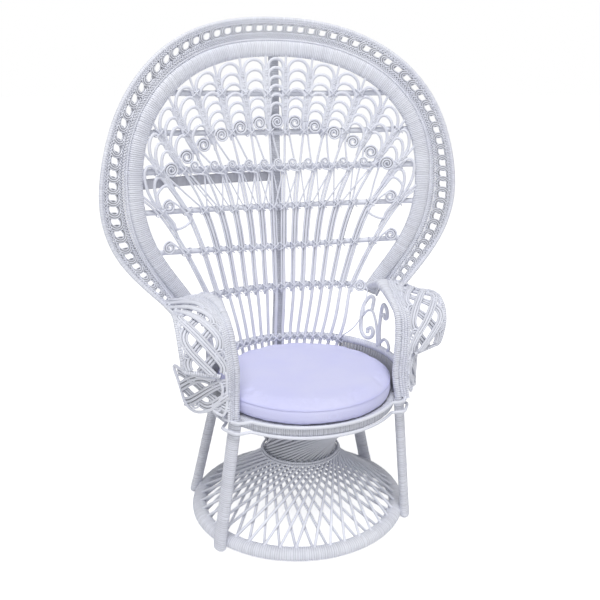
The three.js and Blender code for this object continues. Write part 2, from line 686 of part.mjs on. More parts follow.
// Lace border in four lengths; each stops short of the next by the clearance
const laceEnd = lengthAtHeight(laceStart + LACE_WIDTH / 2, BORDER_END_Z);
for (const [side, sign] of sides) {
  ['upper', 'lower'].forEach((place, half) => {
    const start = (laceEnd / 2) * half + CLEARANCE / 2;
    const stop = (laceEnd / 2) * (half + 1) - CLEARANCE / 2;
    const surface = (u, v) => fanPoint(sign * lerp(start, stop, u), laceStart + v * LACE_WIDTH, BAND_DEPTH);
    addMesh(`lace_${place}_${side}`, wovenSheet(surface, LACE_CELLS, 1, LACE_OPENING, LACE_THICKNESS), rattan);
  });
}

// Rails lie behind the ribs and stop at the hoop's inner edge.
RAILS.forEach(([z, rise], index) => {
  const isUpper = z > HOOP_MIDDLE;
  let low = isUpper ? 0 : edgeLength / 3;
  let high = edgeLength;
  for (let k = 0; k < HALVINGS; k++) {
    const middle = (low + high) / 2;
    if (hoopEdge.getPointAt(middle / edgeLength).y > z + rise) {
      low = middle;
    } else {
      high = middle;
    }
  }
  const reach = hoopEdge.getPointAt(low / edgeLength).x + BAND_WIDTH * RAIL_OVERRUN[isUpper ? 0 : 1];
  const steps = 14;
  const path = Array.from({ length: steps + 1 }, (_, i) => {
    const share = (2 * i) / steps - 1;
    return sheetPoint(share * reach, z + rise * share * share, RAIL_DEPTH);
  });
  const rail = sweep(path, () => roundOutline(RAIL_RADIUS), () => vector(0, 0, 1));
  addMesh(`rail_${index + 1}`, cutBack(rail, [mainHoop(CLEARANCE)]), rattan);
});

// Ribs
const ribPaths = Array.from({ length: RIBS_PER_SIDE }, (_, j) => {
  const far = j === RIBS_PER_SIDE - 1 ? j + LAST_RIB_SPREAD : j;
  const end = fanPoint(RIB_HOOP[0] + RIB_HOOP[1] * far, bandMiddle, 0);
  const flat = [
    vector(RIB_SEAT[0] + RIB_SEAT[1] * j, 0, SEAT_TOP - SEAT_HOOP_WIDTH / 4),
    vector(RIB_SEAT_RAIL[0] + RIB_SEAT_RAIL[1] * j, 0, SEAT_RAIL_Z),
    vector(RIB_RAIL_6[0] + RIB_RAIL_6[1] * j, 0, RAILS[5][0]),
    vector(RIB_RAIL_4[0] + RIB_RAIL_4[1] * far + RIB_RAIL_4_SPREAD * far * far, 0, RAILS[3][0]),
    vector(end.x, 0, end.z),
  ];
  return new THREE.CatmullRomCurve3(flat, false, 'centripetal');
});

function ribX(j, z) {
  let low = 0;
  let high = 1;
  for (let k = 0; k < HALVINGS; k++) {
    const middle = (low + high) / 2;
    if (ribPaths[j].getPoint(middle).z < z) {
      low = middle;
    } else {
      high = middle;
    }
  }
  return ribPaths[j].getPoint(low).x;
}

// A rod that lies in the ribs' sheet, through points given as x and z
function sheetRod(flat, outline) {
  const path = flat.map(([x, z]) => sheetPoint(x, z));
  return sweep(path, () => outline, (i) => sheetNormal(...flat[i]));
}

// A rod that climbs from its rib and rolls up into a curl
function curl(centreX, centreZ, size, stem, startAngle, way) {
  const steps = 12;
  const roll = Array.from({ length: steps + 1 }, (_, i) => {
    const share = i / steps;
    const angle = startAngle + way * share * CURL_TURNS * 2 * Math.PI;
    const radius = lerp(size, CURL_EYE, share);
    return [centreX + radius * Math.cos(angle), centreZ + radius * Math.sin(angle)];
  });
  return sheetRod([...stem, ...roll], roundOutline(CURL_ROD, 3));
}

// An arch that springs from its rib and stops just short of the next one
function scallop(startX, endX, crownZ) {
  const flat = [0, 0.28, 0.72, 1].map((share) => {
    const drop = Math.abs(2 * share - 1) ** 2;
    return [lerp(startX, endX, share), crownZ - SCALLOP_RISE * drop];
  });
  return sheetRod(flat, roundOutline(SCALLOP_ROD, 3));
}

const curlZ = (x) => CURL_TOP - CURL_DROP * x * x;
const hoopZ = (x) => {
  let low = 0;
  let high = edgeLength;
  for (let k = 0; k < HALVINGS; k++) {
    const middle = (low + high) / 2;
    if (hoopEdge.getPointAt(middle / edgeLength).x < x && hoopEdge.getPointAt(middle / edgeLength).y > HOOP_MIDDLE) {
      low = middle;
    } else {
      high = middle;
    }
  }
  return hoopEdge.getPointAt(low / edgeLength).y;
};

// Ribs are counted from the left as seen from the front; each carries the ornament of the bay on its left.
const ribCount = 2 * RIBS_PER_SIDE;
const isLeft = (i) => i < RIBS_PER_SIDE;
const ribNumber = (i) => (isLeft(i) ? RIBS_PER_SIDE - 1 - i : i - RIBS_PER_SIDE);
const ribAt = (i, z) => (isLeft(i) ? -1 : 1) * ribX(ribNumber(i), z);
const bayAt = (i, z) => (ribAt(i - 1, z) + ribAt(i, z)) / 2;

// The rod leaves its rib, crosses the bay below the curl and rolls over to the right.
function bayCurl(i) {
  let centreZ = CURL_TOP;
  for (let k = 0; k < HALVINGS; k++) {
    centreZ = curlZ(bayAt(i, centreZ));
  }
  const centreX = bayAt(i, centreZ);
  const room = centreX - ribAt(i - 1, centreZ - CURL_RADIUS) - RIB_WIDTH / 2 - CURL_ROD - CLEARANCE;
  const size = Math.min(CURL_RADIUS, room);
  const lean = Math.atan2(bayAt(i, centreZ + size) - bayAt(i, centreZ - size), 2 * size);
  const stemZ = Math.min(RAILS[2][0] - CURL_STEM, centreZ - CURL_RADIUS * 3);
  const farSide = [centreX - size * Math.cos(lean), centreZ + size * Math.sin(lean)];
  const below = [farSide[0] - size * Math.sin(lean), farSide[1] - size * Math.cos(lean)];
  const stem = [[ribAt(i, stemZ) - RIB_WIDTH / 4, stemZ], below];
  return curl(centreX, centreZ, size, stem, Math.PI - lean, -1);
}

// The outermost ribs carry a curl on their inner side.
function sideCurl(i) {
  const inward = isLeft(i) ? 1 : -1;
  const stemZ = SIDE_CURL_Z - CURL_RADIUS * 2.5;
  const root = (z) => ribAt(i, z) + (inward * RIB_WIDTH) / 4;
  const centreX = root(SIDE_CURL_Z) + inward * (CURL_RADIUS + CURL_ROD);
  return curl(centreX, SIDE_CURL_Z, CURL_RADIUS, [[root(stemZ), stemZ]], isLeft(i) ? Math.PI : 0, -inward);
}

// Arches stacked from the hoop down to the bay's curl
function bayScallops(i) {
  const bayX = bayAt(i, CURL_TOP);
  const floorZ = curlZ(bayX) + CURL_RADIUS + SCALLOP_RISE + SCALLOP_ROD;
  const crownX = Math.min(Math.abs(bayX) * BAY_SPREAD, HOOP_HALF_WIDTH - 1);
  const arches = [];
  for (let crownZ = hoopZ(crownX) - SCALLOP_PITCH / 2; crownZ > floorZ; crownZ -= SCALLOP_PITCH) {
    const footZ = crownZ - SCALLOP_RISE;
    const stopX = ribAt(i - 1, footZ) + RIB_WIDTH / 2 + SCALLOP_ROD * 1.5 + CLEARANCE;
    arches.push(scallop(ribAt(i, footZ) - RIB_WIDTH / 4, stopX, crownZ));
  }
  return arches;
}

for (let i = 0; i < ribCount; i++) {
  const steps = 8;
  const side = isLeft(i) ? 'left' : 'right';
  const flat = ribPaths[ribNumber(i)].getPoints(steps).map((p) => [isLeft(i) ? -p.x : p.x, p.z]);
  const pieces = [sheetRod(flat, stripOutline(RIB_THICKNESS, RIB_WIDTH))];
  if (i === 0 || i === ribCount - 1) {
    pieces.push(sideCurl(i));
  } else if (i > 1) {
    pieces.push(bayCurl(i), ...bayScallops(i));
  }
  const rib = cutBack(fuse(pieces), [mainHoop(CLEARANCE), blockBelow(SEAT_TOP + CLEARANCE)]);
  addMesh(`rib_${side}_${ribNumber(i) + 1}`, rib, rattan);
}

// Flat post behind the rails and the brace behind the left of the hoop
const postDepth = RAIL_DEPTH + RAIL_RADIUS + CLEARANCE + POST_THICKNESS / 2;
function backPost(grow) {
  const steps = 12;
  const path = Array.from({ length: steps + 1 }, (_, i) =>
    sheetPoint(0, lerp(POST_FOOT, POST_TOP, i / steps), postDepth));
  const outline = flatOutline(POST_WIDTH + 2 * grow, POST_THICKNESS + 2 * grow);
  return sweep(path, () => outline, () => vector(1, 0, 0));
}

addMesh('back_post', backPost(0), shadedRattan);
const braceDepth = BAND_DEPTH + BAND_THICKNESS / 2 + CLEARANCE + BRACE_THICKNESS / 2;
const bracePath = Array.from({ length: 11 }, (_, i) => {
  const x = lerp(BRACE_END, POST_WIDTH / 2 + CLEARANCE, i / 10);
  return sheetPoint(-x, BRACE_Z, braceDepth);
});
const braceOutline = flatOutline(BRACE_HEIGHT, BRACE_THICKNESS);
const brace = sweep(bracePath, () => braceOutline, () => vector(0, 0, 1));
addMesh('back_brace', cutBack(brace, [mainHoop(CLEARANCE)]), shadedRattan);

// Arms
function arm(side, sign) {
  const mirror = (x, y, z) => vector(sign * x, y, z);
  const bandFront = BAND_DEPTH - BAND_THICKNESS / 2;
  const start = fanPoint(lengthAtHeight(bandMiddle, ARM_TOP - BOW_THICKNESS / 2), bandMiddle, bandFront + BOW_SINK);
  const legTop = seatPoint(legTopRadius, -FRONT_TOP_ANGLE, SEAT_TOP);
  const drop = ARM_BEND_Y - ARM_POST_Y;
  const bends = BOW_BENDS.map(([inward, back, fall]) =>
    mirror(lerp(start.x, ARM_POST_X, inward), ARM_POST_Y + drop * back, ARM_TOP - drop * fall));
  const route = [
    mirror(start.x, start.y, start.z),
    mirror(lerp(start.x, ARM_POST_X, BOW_LEAVING[0]), ARM_REAR_Y, ARM_TOP),
    mirror(lerp(start.x, ARM_POST_X, BOW_LEAVING[1]), (ARM_REAR_Y + ARM_BEND_Y) / 2, ARM_TOP),
    ...bends,
    mirror(legTop.x, legTop.y, SEAT_TOP),
  ];
  const curve = new THREE.CatmullRomCurve3(route, false, 'centripetal');
  const steps = 16;
  const widthAt = (u) => lerp(BAND_WIDTH, BOW_WIDTH, THREE.MathUtils.smoothstep(u, ...BOW_NARROWS));
  const foot = curve.getPointAt(1);
  const down = curve.getTangentAt(1).multiplyScalar(curve.getLength());
  const bowPoint = (u) => (u <= 1 ? curve.getPointAt(u) : foot.clone().addScaledVector(down, u - 1));
  const outward = vector(sign, 0, 0);
  const bow = (grow) => {
    const shares = [...Array.from({ length: steps + 1 }, (_, i) => i / steps), 1 + BOW_OVERRUN];
    const outlineAt = (i) => flatOutline(widthAt(shares[i]) + 2 * grow, BOW_THICKNESS + 2 * grow);
    return sweep(shares.map(bowPoint), outlineAt, () => outward);
  };
  const legStop = blockBelow(SEAT_TOP + CLEARANCE);
  addMesh(`arm_bow_${side}`, cutBack(bow(0), [mainHoop(CLEARANCE), legStop]), rattan);

  // Two trim rods along the bow's outer edge
  const trimOffset = (u) => widthAt(u) / 2 + CLEARANCE + FLAT_ALLOWANCE + 2 * ARM_TRIM;
  const trim = (grow) => {
    const shares = Array.from({ length: steps + 1 }, (_, i) => lerp(TRIM_START, 1 + BOW_OVERRUN, i / steps));
    const path = shares.map((u) => bowPoint(u).addScaledVector(outward, trimOffset(u)));
    return sweep(path, () => flatOutline(4 * ARM_TRIM + 2 * grow, 2 * ARM_TRIM + 2 * grow), () => outward);
  };
  const cordTop = blockBelow(SEAT_TOP + SEAT_CORD * 1.5 + CLEARANCE);
  const trimStops = [mainHoop(CLEARANCE), hoopTrim(CLEARANCE), cordTop];
  addMesh(`arm_trim_${side}`, cutBack(trim(0), trimStops), rattan);

  // Cuff: a woven sheet from the trim rods out to a free edge, over the arm and down its front
  const shareAtHeight = (z) => {
    let low = 0.5;
    let high = 1;
    for (let k = 0; k < HALVINGS; k++) {
      const middle = (low + high) / 2;
      if (curve.getPointAt(middle).z > z) {
        low = middle;
      } else {
        high = middle;
      }
    }
    return low;
  };
  const cuffEnd = shareAtHeight(CUFF_BOTTOM - CUFF_RIM * 2);
  const innerEdge = (u) => {
    const share = lerp(CUFF_START, cuffEnd, u);
    return bowPoint(share).addScaledVector(outward, trimOffset(share) + 2 * ARM_TRIM + CLEARANCE);
  };
  const cuffRear = bowPoint(CUFF_START);
  const freeEdge = new THREE.CatmullRomCurve3([
    mirror(CUFF_EDGE_X + CUFF_FLARE, cuffRear.y, cuffRear.z),
    mirror(CUFF_EDGE_X + CUFF_FLARE * 0.8, (cuffRear.y + ARM_BEND_Y) / 2, ARM_TOP + CUFF_RIM),
    mirror(CUFF_EDGE_X + CUFF_FLARE * 0.3, ARM_BEND_Y - drop * 0.25, ARM_TOP),
    mirror(CUFF_EDGE_X, CUFF_FRONT_Y + drop * 0.1, ARM_TOP - drop * 0.4),
    mirror(CUFF_EDGE_X - CUFF_FLARE * 0.3, CUFF_FRONT_Y, ARM_TOP - drop * 0.95),
    mirror(CUFF_EDGE_X - CUFF_FLARE * 0.8, CUFF_FRONT_Y + drop * 0.1, CUFF_BOTTOM),
  ], false, 'centripetal');
  const cuffPoint = (u, v) => {
    const inside = innerEdge(THREE.MathUtils.clamp(u, 0, 1));
    return inside.lerp(freeEdge.getPointAt(THREE.MathUtils.clamp(u, 0, 1)), v);
  };
  const rimGap = CUFF_RIM + CLEARANCE;
  const rimPath = [];
  const rimSteps = 12;
  for (let i = 0; i < rimSteps; i++) {
    const edge = cuffPoint(i / rimSteps, 1);
    const away = edge.clone().sub(cuffPoint(i / rimSteps, 0)).normalize();
    rimPath.push(edge.addScaledVector(away, rimGap));
  }
  const fall = (v) => cuffPoint(1, v).sub(cuffPoint(0.97, v)).normalize();
  const corner = cuffPoint(1, 1).addScaledVector(fall(1), rimGap);
  const beside = cuffPoint(1, 1).sub(cuffPoint(1, 0)).normalize();
  rimPath.push(corner.addScaledVector(beside, rimGap));
  for (const v of [0.75, 0.5, 0.25, 0.06]) {
    rimPath.push(cuffPoint(1, v).addScaledVector(fall(v), rimGap));
  }
  const cuffRim = (grow) => sweep(rimPath, () => roundOutline(CUFF_RIM + grow), () => mirror(-1, -1, 1));
  const sheet = wovenSheet(cuffPoint, CUFF_COLUMNS, CUFF_ROWS, WEAVE_OPENING, CUFF_THICKNESS);
  addMesh(`cuff_${side}`, cutBack(sheet, [trim(CLEARANCE), cuffRim(CLEARANCE), outerRim(CLEARANCE)]), rattan);
  addMesh(`cuff_rim_${side}`, cutBack(cuffRim(0), [outerRim(CLEARANCE), trim(CLEARANCE)]), rattan);

  // Skirt: a woven wing from the front post, back and out below the cuff
  const postEdge = (z) => {
    const share = shareAtHeight(z);
    return bowPoint(share).addScaledVector(outward, trimOffset(share) + 2 * ARM_TRIM + CLEARANCE);
  };
  const ear = mirror(...SKIRT_EAR);
  const skirtCorner = mirror(...SKIRT_CORNER);
  const skirtPoint = (u, v) => {
    const inside = postEdge(lerp(SKIRT_BOTTOM, SKIRT_TOP, v));
    return inside.lerp(skirtCorner.clone().lerp(ear, v), u);
  };
  const skirt = wovenSheet(skirtPoint, SKIRT_COLUMNS, SKIRT_ROWS, WEAVE_OPENING, CUFF_THICKNESS);
  addMesh(`skirt_${side}`, cutBack(skirt, [trim(CLEARANCE)]), rattan);

  // Scroll rod: one rod bent into two arches between the seat rail and the bow
  const railTop = SEAT_RAIL_Z + RAIL_RADIUS + CLEARANCE;
  const bowUnder = ARM_TOP - BOW_THICKNESS / 2 - CLEARANCE - SCROLL_ROD;
  const shareAtY = (y) => {
    let low = 0;
    let high = 0.7;
    for (let k = 0; k < HALVINGS; k++) {
      const middle = (low + high) / 2;
      if (curve.getPointAt(middle).y > y) {
        low = middle;
      } else {
        high = middle;
      }
    }
    return low;
  };
  const scrollPoint = (y, z) => {
    const railRise = (y + SEAT_FORWARD) / RING_DEPTH;
    const railX = Math.sqrt(seatRailRadius ** 2 - railRise ** 2);
    const bowX = Math.abs(bowPoint(shareAtY(y)).x);
    return mirror(lerp(railX, bowX, (z - railTop) / (bowUnder - railTop)), y, z);
  };
  const [a, b, c, d] = SCROLL_LEGS;
  const shoulder = bowUnder - (a - b);
  const scrollPath = sampleCurve([
    scrollPoint(a, railTop),
    scrollPoint(a, shoulder),
    scrollPoint((a + b) / 2, bowUnder),
    scrollPoint(b, shoulder),
    scrollPoint(b, railTop + SCROLL_DIP * 2),
    scrollPoint((b + c) / 2, railTop + SCROLL_DIP),
    scrollPoint(c, railTop + SCROLL_DIP * 2),
    scrollPoint(c, shoulder),
    scrollPoint((c + d) / 2, bowUnder),
    scrollPoint(d, shoulder),
    scrollPoint(d, railTop),
  ], 24);
  const scroll = sweep(scrollPath, () => roundOutline(SCROLL_ROD, 4), () => outward);
  addMesh(`arm_scroll_${side}`, cutBack(scroll, [bow(CLEARANCE), seatRail(CLEARANCE)]), rattan);
  return [bow(CLEARANCE), trim(CLEARANCE)];
}

// The seventh rail wraps round the back of the seat, behind the ribs, to the two arm posts.
const seatRailSteps = 24;
const seatRailTurn = (180 + 2 * SEAT_RAIL_ANGLE) / seatRailSteps;
const seatRailReach = (RIB_THICKNESS / 2 + CLEARANCE + RAIL_RADIUS) / RING_DEPTH;
const seatRailRadius = (RIB_SEAT_RADIUS + seatRailReach) / Math.cos(radians(seatRailTurn / 2));

function seatRail(grow) {
  const angles = Array.from({ length: seatRailSteps + 1 }, (_, i) => i * seatRailTurn - SEAT_RAIL_ANGLE);
  const path = angles.map((a) => seatPoint(seatRailRadius, a, SEAT_RAIL_Z));
  return sweep(path, () => roundOutline(RAIL_RADIUS + grow), () => vector(0, 0, 1));
}

const armSolids = sides.flatMap(([side, sign]) => arm(side, sign));
addMesh('rail_7', cutBack(seatRail(0), [...armSolids, backPost(CLEARANCE)]), rattan);

// The origin lies on the floor under the middle of the chair's box.
const box = new THREE.Box3().setFromObject(chair);
const middle = box.getCenter(vector(0, 0, 0));
for (const mesh of chair.children) {
  mesh.geometry.translate(-middle.x, -middle.y, -box.min.z);
}

export default chair;
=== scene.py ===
"""A white rattan peacock chair with a loose lavender cushion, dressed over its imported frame."""
import math

import bpy
import numpy as np
from mathutils import Matrix, Vector


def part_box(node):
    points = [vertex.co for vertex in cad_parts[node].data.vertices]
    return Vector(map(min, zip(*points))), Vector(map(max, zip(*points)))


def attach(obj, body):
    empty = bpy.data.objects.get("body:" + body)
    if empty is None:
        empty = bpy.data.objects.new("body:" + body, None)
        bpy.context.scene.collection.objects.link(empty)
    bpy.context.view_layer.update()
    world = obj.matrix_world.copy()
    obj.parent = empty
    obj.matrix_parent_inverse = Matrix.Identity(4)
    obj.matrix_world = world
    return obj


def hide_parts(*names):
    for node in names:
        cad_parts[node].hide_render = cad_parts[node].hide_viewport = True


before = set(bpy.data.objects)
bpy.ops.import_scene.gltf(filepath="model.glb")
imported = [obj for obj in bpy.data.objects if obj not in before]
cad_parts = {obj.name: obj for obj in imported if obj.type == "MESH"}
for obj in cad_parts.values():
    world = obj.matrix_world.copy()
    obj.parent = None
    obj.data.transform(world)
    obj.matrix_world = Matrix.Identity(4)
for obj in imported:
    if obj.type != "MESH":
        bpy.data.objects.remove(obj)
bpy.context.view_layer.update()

RNG = np.random.default_rng(11)

# Base and seat, in metres
FLOOR_RADIUS = 0.315
FLOOR_TUBE = 0.0215
FLOOR_HEIGHT = 0.020
RING_DEPTH = 0.95  # depth of every round hoop for a width of one
SEAT_TOP = 0.416
SEAT_FORWARD = 0.045
SEAT_RADIUS = 0.267
SEAT_HOOP_WIDTH = 0.018
SEAT_HOOP_HEIGHT = 0.028
SEAT_CORD = 0.0046
ROD_COUNT = 40
ROD_RADIUS = 0.0043
THROAT_RADIUS = 0.105
ROD_SPREAD = 0.018
WAIST_Z = 0.209
WAIST_CORD = 0.0032
WAIST_RADIUS = 0.1195
LEG_WIDTH = 0.040
LEG_THICKNESS = 0.0275
FOOT_RADIUS = 0.3485
LEG_TOP_RADIUS = 0.2903
FOOT_LIFT = 0.0032
FRONT_ANGLES = (32.0, 32.4)  # foot and top, from the side toward the front
REAR_ANGLES = (-29.0, -43.5)

# Fan sheet and hoop
RIBS_PER_SIDE = 8
RIB_SEAT_RADIUS = 0.271
FAN_ROOT = 0.450
FAN_ROOT_Y = 0.184
FAN_RECLINE = 0.0737
FAN_CURVE = 0.337
FAN_CURVE_RISE = 0.35
SIDE_EASE_START = 0.36  # the sweep eases beyond this distance from the centre line
SIDE_EASE = 1.6
HOOP_HALF_WIDTH = 0.427
HOOP_MIDDLE = 1.000
HOOP_RISE = 0.375
HOOP_SQUARENESS = 2.3
HOOP_FOOT = (0.282, 0.658)
HOOP_FOOT_SLOPE = 0.66
HOOP_BOW = 0.150
BAND_WIDTH = 0.044
BAND_THICKNESS = 0.024
BAND_DEPTH = 0.005
BAND_END_Z = 0.640
BORDER_END_Z = 0.652
TRIM_ROD = 0.0035
LACE_START = 0.0523
LACE_WIDTH = 0.048
LACE_RINGS = 68
OUTER_RIM = 0.006
RIM_OUT = 0.1071
BORDER_FULL = (0.645, 0.125)  # share of the edge where the border is widest, and its reach each way
BORDER_SWELL = 0.019
BORDER_ENDING = (0.70, 0.95)  # share of the edge over which the border turns to the arm
BORDER_PINCH = 0.020
BORDER_BEND = 0.060

# Rails: height on the centre line and rise of the ends
RAILS = [(1.267, 0.004), (1.152, 0.011), (1.046, 0.008), (0.925, 0.012), (0.798, 0.017), (0.668, -0.009)]
RAIL_Z = [z for z, _ in RAILS]
RAIL_RADIUS = 0.0085
RAIL_DEPTH = 0.0136
THICK_RAIL = (2, 1.15)  # number of the thicker rail, and by how much
SEAT_RAIL_Z = 0.490
SEAT_RAIL_HEIGHT = 0.024
SEAT_RAIL_ANGLE = 31.0
SEAT_RAIL_RADIUS = 0.2855
WRAP_MARGIN = 0.015

# Ribs: first place and step at the seat, seat rail, sixth and fourth rails and along the hoop
RIB_SEAT = (0.011, 0.0227)
RIB_SEAT_RAIL = (0.012, 0.0247)
RIB_RAIL_6 = (0.013, 0.0323)
RIB_RAIL_4 = (0.018, 0.038)
RIB_RAIL_4_SPREAD = 0.00125
RIB_HOOP = (0.032, 0.082)
LAST_RIB_SPREAD = 0.45
RIB_ROD = 0.0041
RIB_FOOT = 0.0055
STEM_ROD = 0.0031
THIN_ROD = 0.0027
ROD_GAP = 0.0012

# Curls and arches
CURL_RADIUS = 0.0232
CURL_ROD = 0.0033
CURL_TURNS = 2.6
CURL_TOP = 1.183
CURL_DROP = 1.1
CURL_DEPTH = -0.004
SIDE_CURL = 0.0205
SMALL_CURL = 0.0142
SMALL_ROD = 0.0025
ARCH_ROD = 0.0049
TIE_ROD = 0.0019
TIE_FRONT = -0.0085
POST_WIDTH = 0.031
POST_THICKNESS = 0.010
POST_ENDS = (0.392, 1.400)
PAINTED_SHADE_TONE = 0.42  # tone of the thin dark rods that paint the shade between neighbouring rods
UPPER_ROD = 4  # step of a pedestal rod, of 8, at the waist
UPPER_TONE = 0.66  # and its tone from there up, in the seat's shade
ARCH_PITCH = 0.36  # spacing of arches for a bay of width one

# Arms
ARM_TOP = 0.708  # middle of the bow at its highest
ARM_POST_X = 0.2395
# The bow's route: share of the way in to the post, distance to the rear and fall from the top
BOW_ROUTE = [(0.05, 0.090, 0.022), (0.63, -0.010, 0.0), (0.82, -0.100, 0.019), (0.87, -0.155, 0.052),
             (0.94, -0.176, 0.108), (1.0, -0.182, 0.152), (1.0, -0.178, 0.223)]
BOW_START_Z = 0.658
BOW_TURN = 42.0  # degrees by which its broad side faces the other arm
BOW_NARROWS = (0.1, 0.55)
BOW_WIDTH = 0.018
BOW_THICKNESS = 0.020
ARM_CORD = 0.0041
CUFF_REAR = (0.385, 0.008)  # free edge at the back, and its fall below the bow there
# Then its distance from the centre line and to the rear, and its fall from the top
CUFF_EDGE = [(0.381, 0.0, 0.024), (0.386, -0.125, 0.010), (0.385, -0.173, 0.048), (0.381, -0.180, 0.098),
             (0.374, -0.173, 0.140)]
CUFF_RIM = 0.005
CUFF_WIDTH = 0.115
CUFF_START = 0.1  # share of the bow at which it starts
CUFF_LEVELS = 5.25  # crossings along a cuff
CUFF_INNER_END = 0.553  # height at which its inner edge ends
STRAND = 0.0029  # radius of a strand in the plaited bands
EDGE_LOOP = 0.0105  # loops at the edges of the cuffs and skirts
SKIRT_TOP = 0.540
SKIRT_BOTTOM = 0.450
SKIRT_DEEP = 0.17
SKIRT_EAR = (0.376, -0.034, 0.522)
SKIRT_CORNER = (0.362, -0.055, 0.414)
# Bent rods of the skirt, as shares of its depth and height
SKIRT_RIM = [(0.19, 1.02), (0.10, 0.72), (0.14, 0.40), (0.32, 0.10), (0.53, -0.04), (0.80, -0.08),
             (0.95, 0.10), (1.0, 0.55), (1.04, 1.05), (0.90, 1.00), (0.55, 0.94), (0.25, 0.98)]
SKIRT_LOOP = [(0.03, 1.25), (0.02, 0.70), (0.03, 0.10), (0.10, -0.10), (0.24, -0.06), (0.36, 0.06)]
# Scrolls under the arm: distances to the rear and heights, then radius and inset
SCROLL_FOOT = SEAT_RAIL_Z + RAIL_RADIUS
SCROLLS = [
    ([(0.088, 0.598), (0.096, 0.630), (0.116, 0.634), (0.129, 0.608), (0.117, 0.555), (0.102, 0.522),
      (0.084, 0.508), (0.064, 0.513), (0.058, 0.531), (0.070, 0.543), (0.083, 0.535), (0.080, 0.524)],
     0.0064, 0.0),
    ([(0.112, 0.572), (0.100, 0.592), (0.075, 0.597), (0.052, 0.582), (0.036, 0.560), (0.028, 0.530),
      (0.025, SCROLL_FOOT)], 0.0044, 0.006),
    ([(0.022, SCROLL_FOOT), (0.027, 0.545), (0.024, 0.588), (0.008, 0.630), (-0.018, 0.647),
      (-0.041, 0.638), (-0.040, 0.614), (-0.020, 0.602), (-0.004, 0.612)], 0.0058, 0.0),
    ([(0.012, 0.514), (-0.008, 0.529), (-0.029, 0.527), (-0.038, 0.511), (-0.028, SCROLL_FOOT)],
     0.0050, 0.003)]

# Camera, fitted to the photograph
CAMERA_PLACE = (-0.659, -1.996, 1.328)
CAMERA_TURN = -17.79
CAMERA_DIP = 16.56
CAMERA_ROLL = 0.40
FOCAL_PIXELS = 740.4
IMAGE_CENTRE = (293.9, 292.8)
IMAGE_SIZE = 600.0
SENSOR = 36.0

# Floor and light
FLOOR_REACH = 40.0
FLOOR_GLOW = 0.72
WORLD_LIGHT = 0.33

UP = np.array([0, 0, 1.0])
RIGHT = np.array([1.0, 0, 0])
SIDES = (("left", -1), ("right", 1))


def axis_y(z):
    """The axis of the round hoops leans forward from the floor to the seat."""
    return -SEAT_FORWARD * z / SEAT_TOP


low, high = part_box("floor_hoop")
SHIFT_Y = (low.y + high.y) / 2 - axis_y(FLOOR_HEIGHT)


def unit(v):
    return v / np.linalg.norm(v, axis=-1, keepdims=True)


def smoothstep(x, start, stop):
    t = np.clip((x - start) / (stop - start), 0, 1)
    return t * t * (3 - 2 * t)


def mix(a, b, t):
    return a + (b - a) * t


def cols(*parts):
    """Rows of points from their coordinates."""
    return np.stack(np.broadcast_arrays(*parts), -1)


def shares(count):
    """Even steps from none to one, as a column."""
    return np.linspace(0, 1, count)[:, None]


def left_of(way):
    return cols(-way[:, 1], way[:, 0])


def spline(points, per=16):
    """Centripetal curve through points, sampled densely."""
    p = np.asarray(points, float)
    q = np.vstack([2 * p[0] - p[1], p, 2 * p[-1] - p[-2]])
    t = np.linspace(0, 1, per, endpoint=False)[:, None]
    out = []
    for i in range(1, len(q) - 2):
        p0, p1, p2, p3 = q[i - 1:i + 3]
        pairs = ((p0, p1), (p1, p2), (p2, p3))
        d0, d1, d2 = (max(np.linalg.norm(b - a), 1e-9) ** 0.5 for a, b in pairs)
        m1 = ((p1 - p0) / d0 - (p2 - p0) / (d0 + d1) + (p2 - p1) / d1) * d1
        m2 = ((p2 - p1) / d1 - (p3 - p1) / (d1 + d2) + (p3 - p2) / d2) * d1
        curve = (2 * t**3 - 3 * t**2 + 1) * p1 + (t**3 - 2 * t**2 + t) * m1
        out.append(curve + (3 * t**2 - 2 * t**3) * p2 + (t**3 - t**2) * m2)
    return np.vstack(out + [p[-1:]])


def lengths(path):
    return np.concatenate([[0], np.cumsum(np.linalg.norm(np.diff(path, axis=0), axis=1))])


def at_length(path, s, want):
    """Points of a path at wanted lengths, with the lengths at its own points."""
    return np.stack([np.interp(want, s, column) for column in path.T], -1)


def at_share(path, share):
    """Points of a path at shares of its length."""
    s = lengths(path)
    return at_length(path, s, np.asarray(share) * s[-1])


def even(path, spacing):
    count = max(2, int(math.ceil(lengths(path)[-1] / spacing)) + 1)
    return at_share(path, np.linspace(0, 1, count))


def frames(path, across, closed):
    """Direction along a path and the two directions of its section."""
    if closed:
        along = unit(np.roll(path, -1, 0) - np.roll(path, 1, 0))
    else:
        along = unit(np.gradient(path, axis=0))
    if across is None:
        first = np.zeros_like(path)
        guess = np.array([0.31, 0.12, 0.94])
        if abs(along[0] @ unit(guess)) > 0.9:
            guess = np.array([0.94, 0.12, 0.31])
        for i, a in enumerate(along):
            guess = guess - a * (guess @ a)
            guess = guess / np.linalg.norm(guess)
            first[i] = guess
    else:
        wide = np.broadcast_to(across, path.shape)
        first = unit(wide - along * (wide * along).sum(1, keepdims=True))
    return along, first, np.cross(along, first)


def new_object(name, data):
    item = bpy.data.objects.new(name, data)
    bpy.context.scene.collection.objects.link(item)
    return item


# Materials
def new_material(name):
    material = bpy.data.materials.new(name)
    material.use_nodes = True
    return material, material.node_tree, material.node_tree.nodes["Principled BSDF"]


def set_inputs(tree, made, **values):
    """Each value is a setting of the node, an input's own value or a socket that feeds the input."""
    for key, value in values.items():
        socket = made.inputs.get(key.replace("_", " "))
        if socket is None:
            setattr(made, key, value)
        elif isinstance(value, bpy.types.NodeSocket):
            tree.links.new(value, socket)
        else:
            socket.default_value = value
    return made


def add(tree, kind, **values):
    return set_inputs(tree, tree.nodes.new("ShaderNode" + kind), **values)


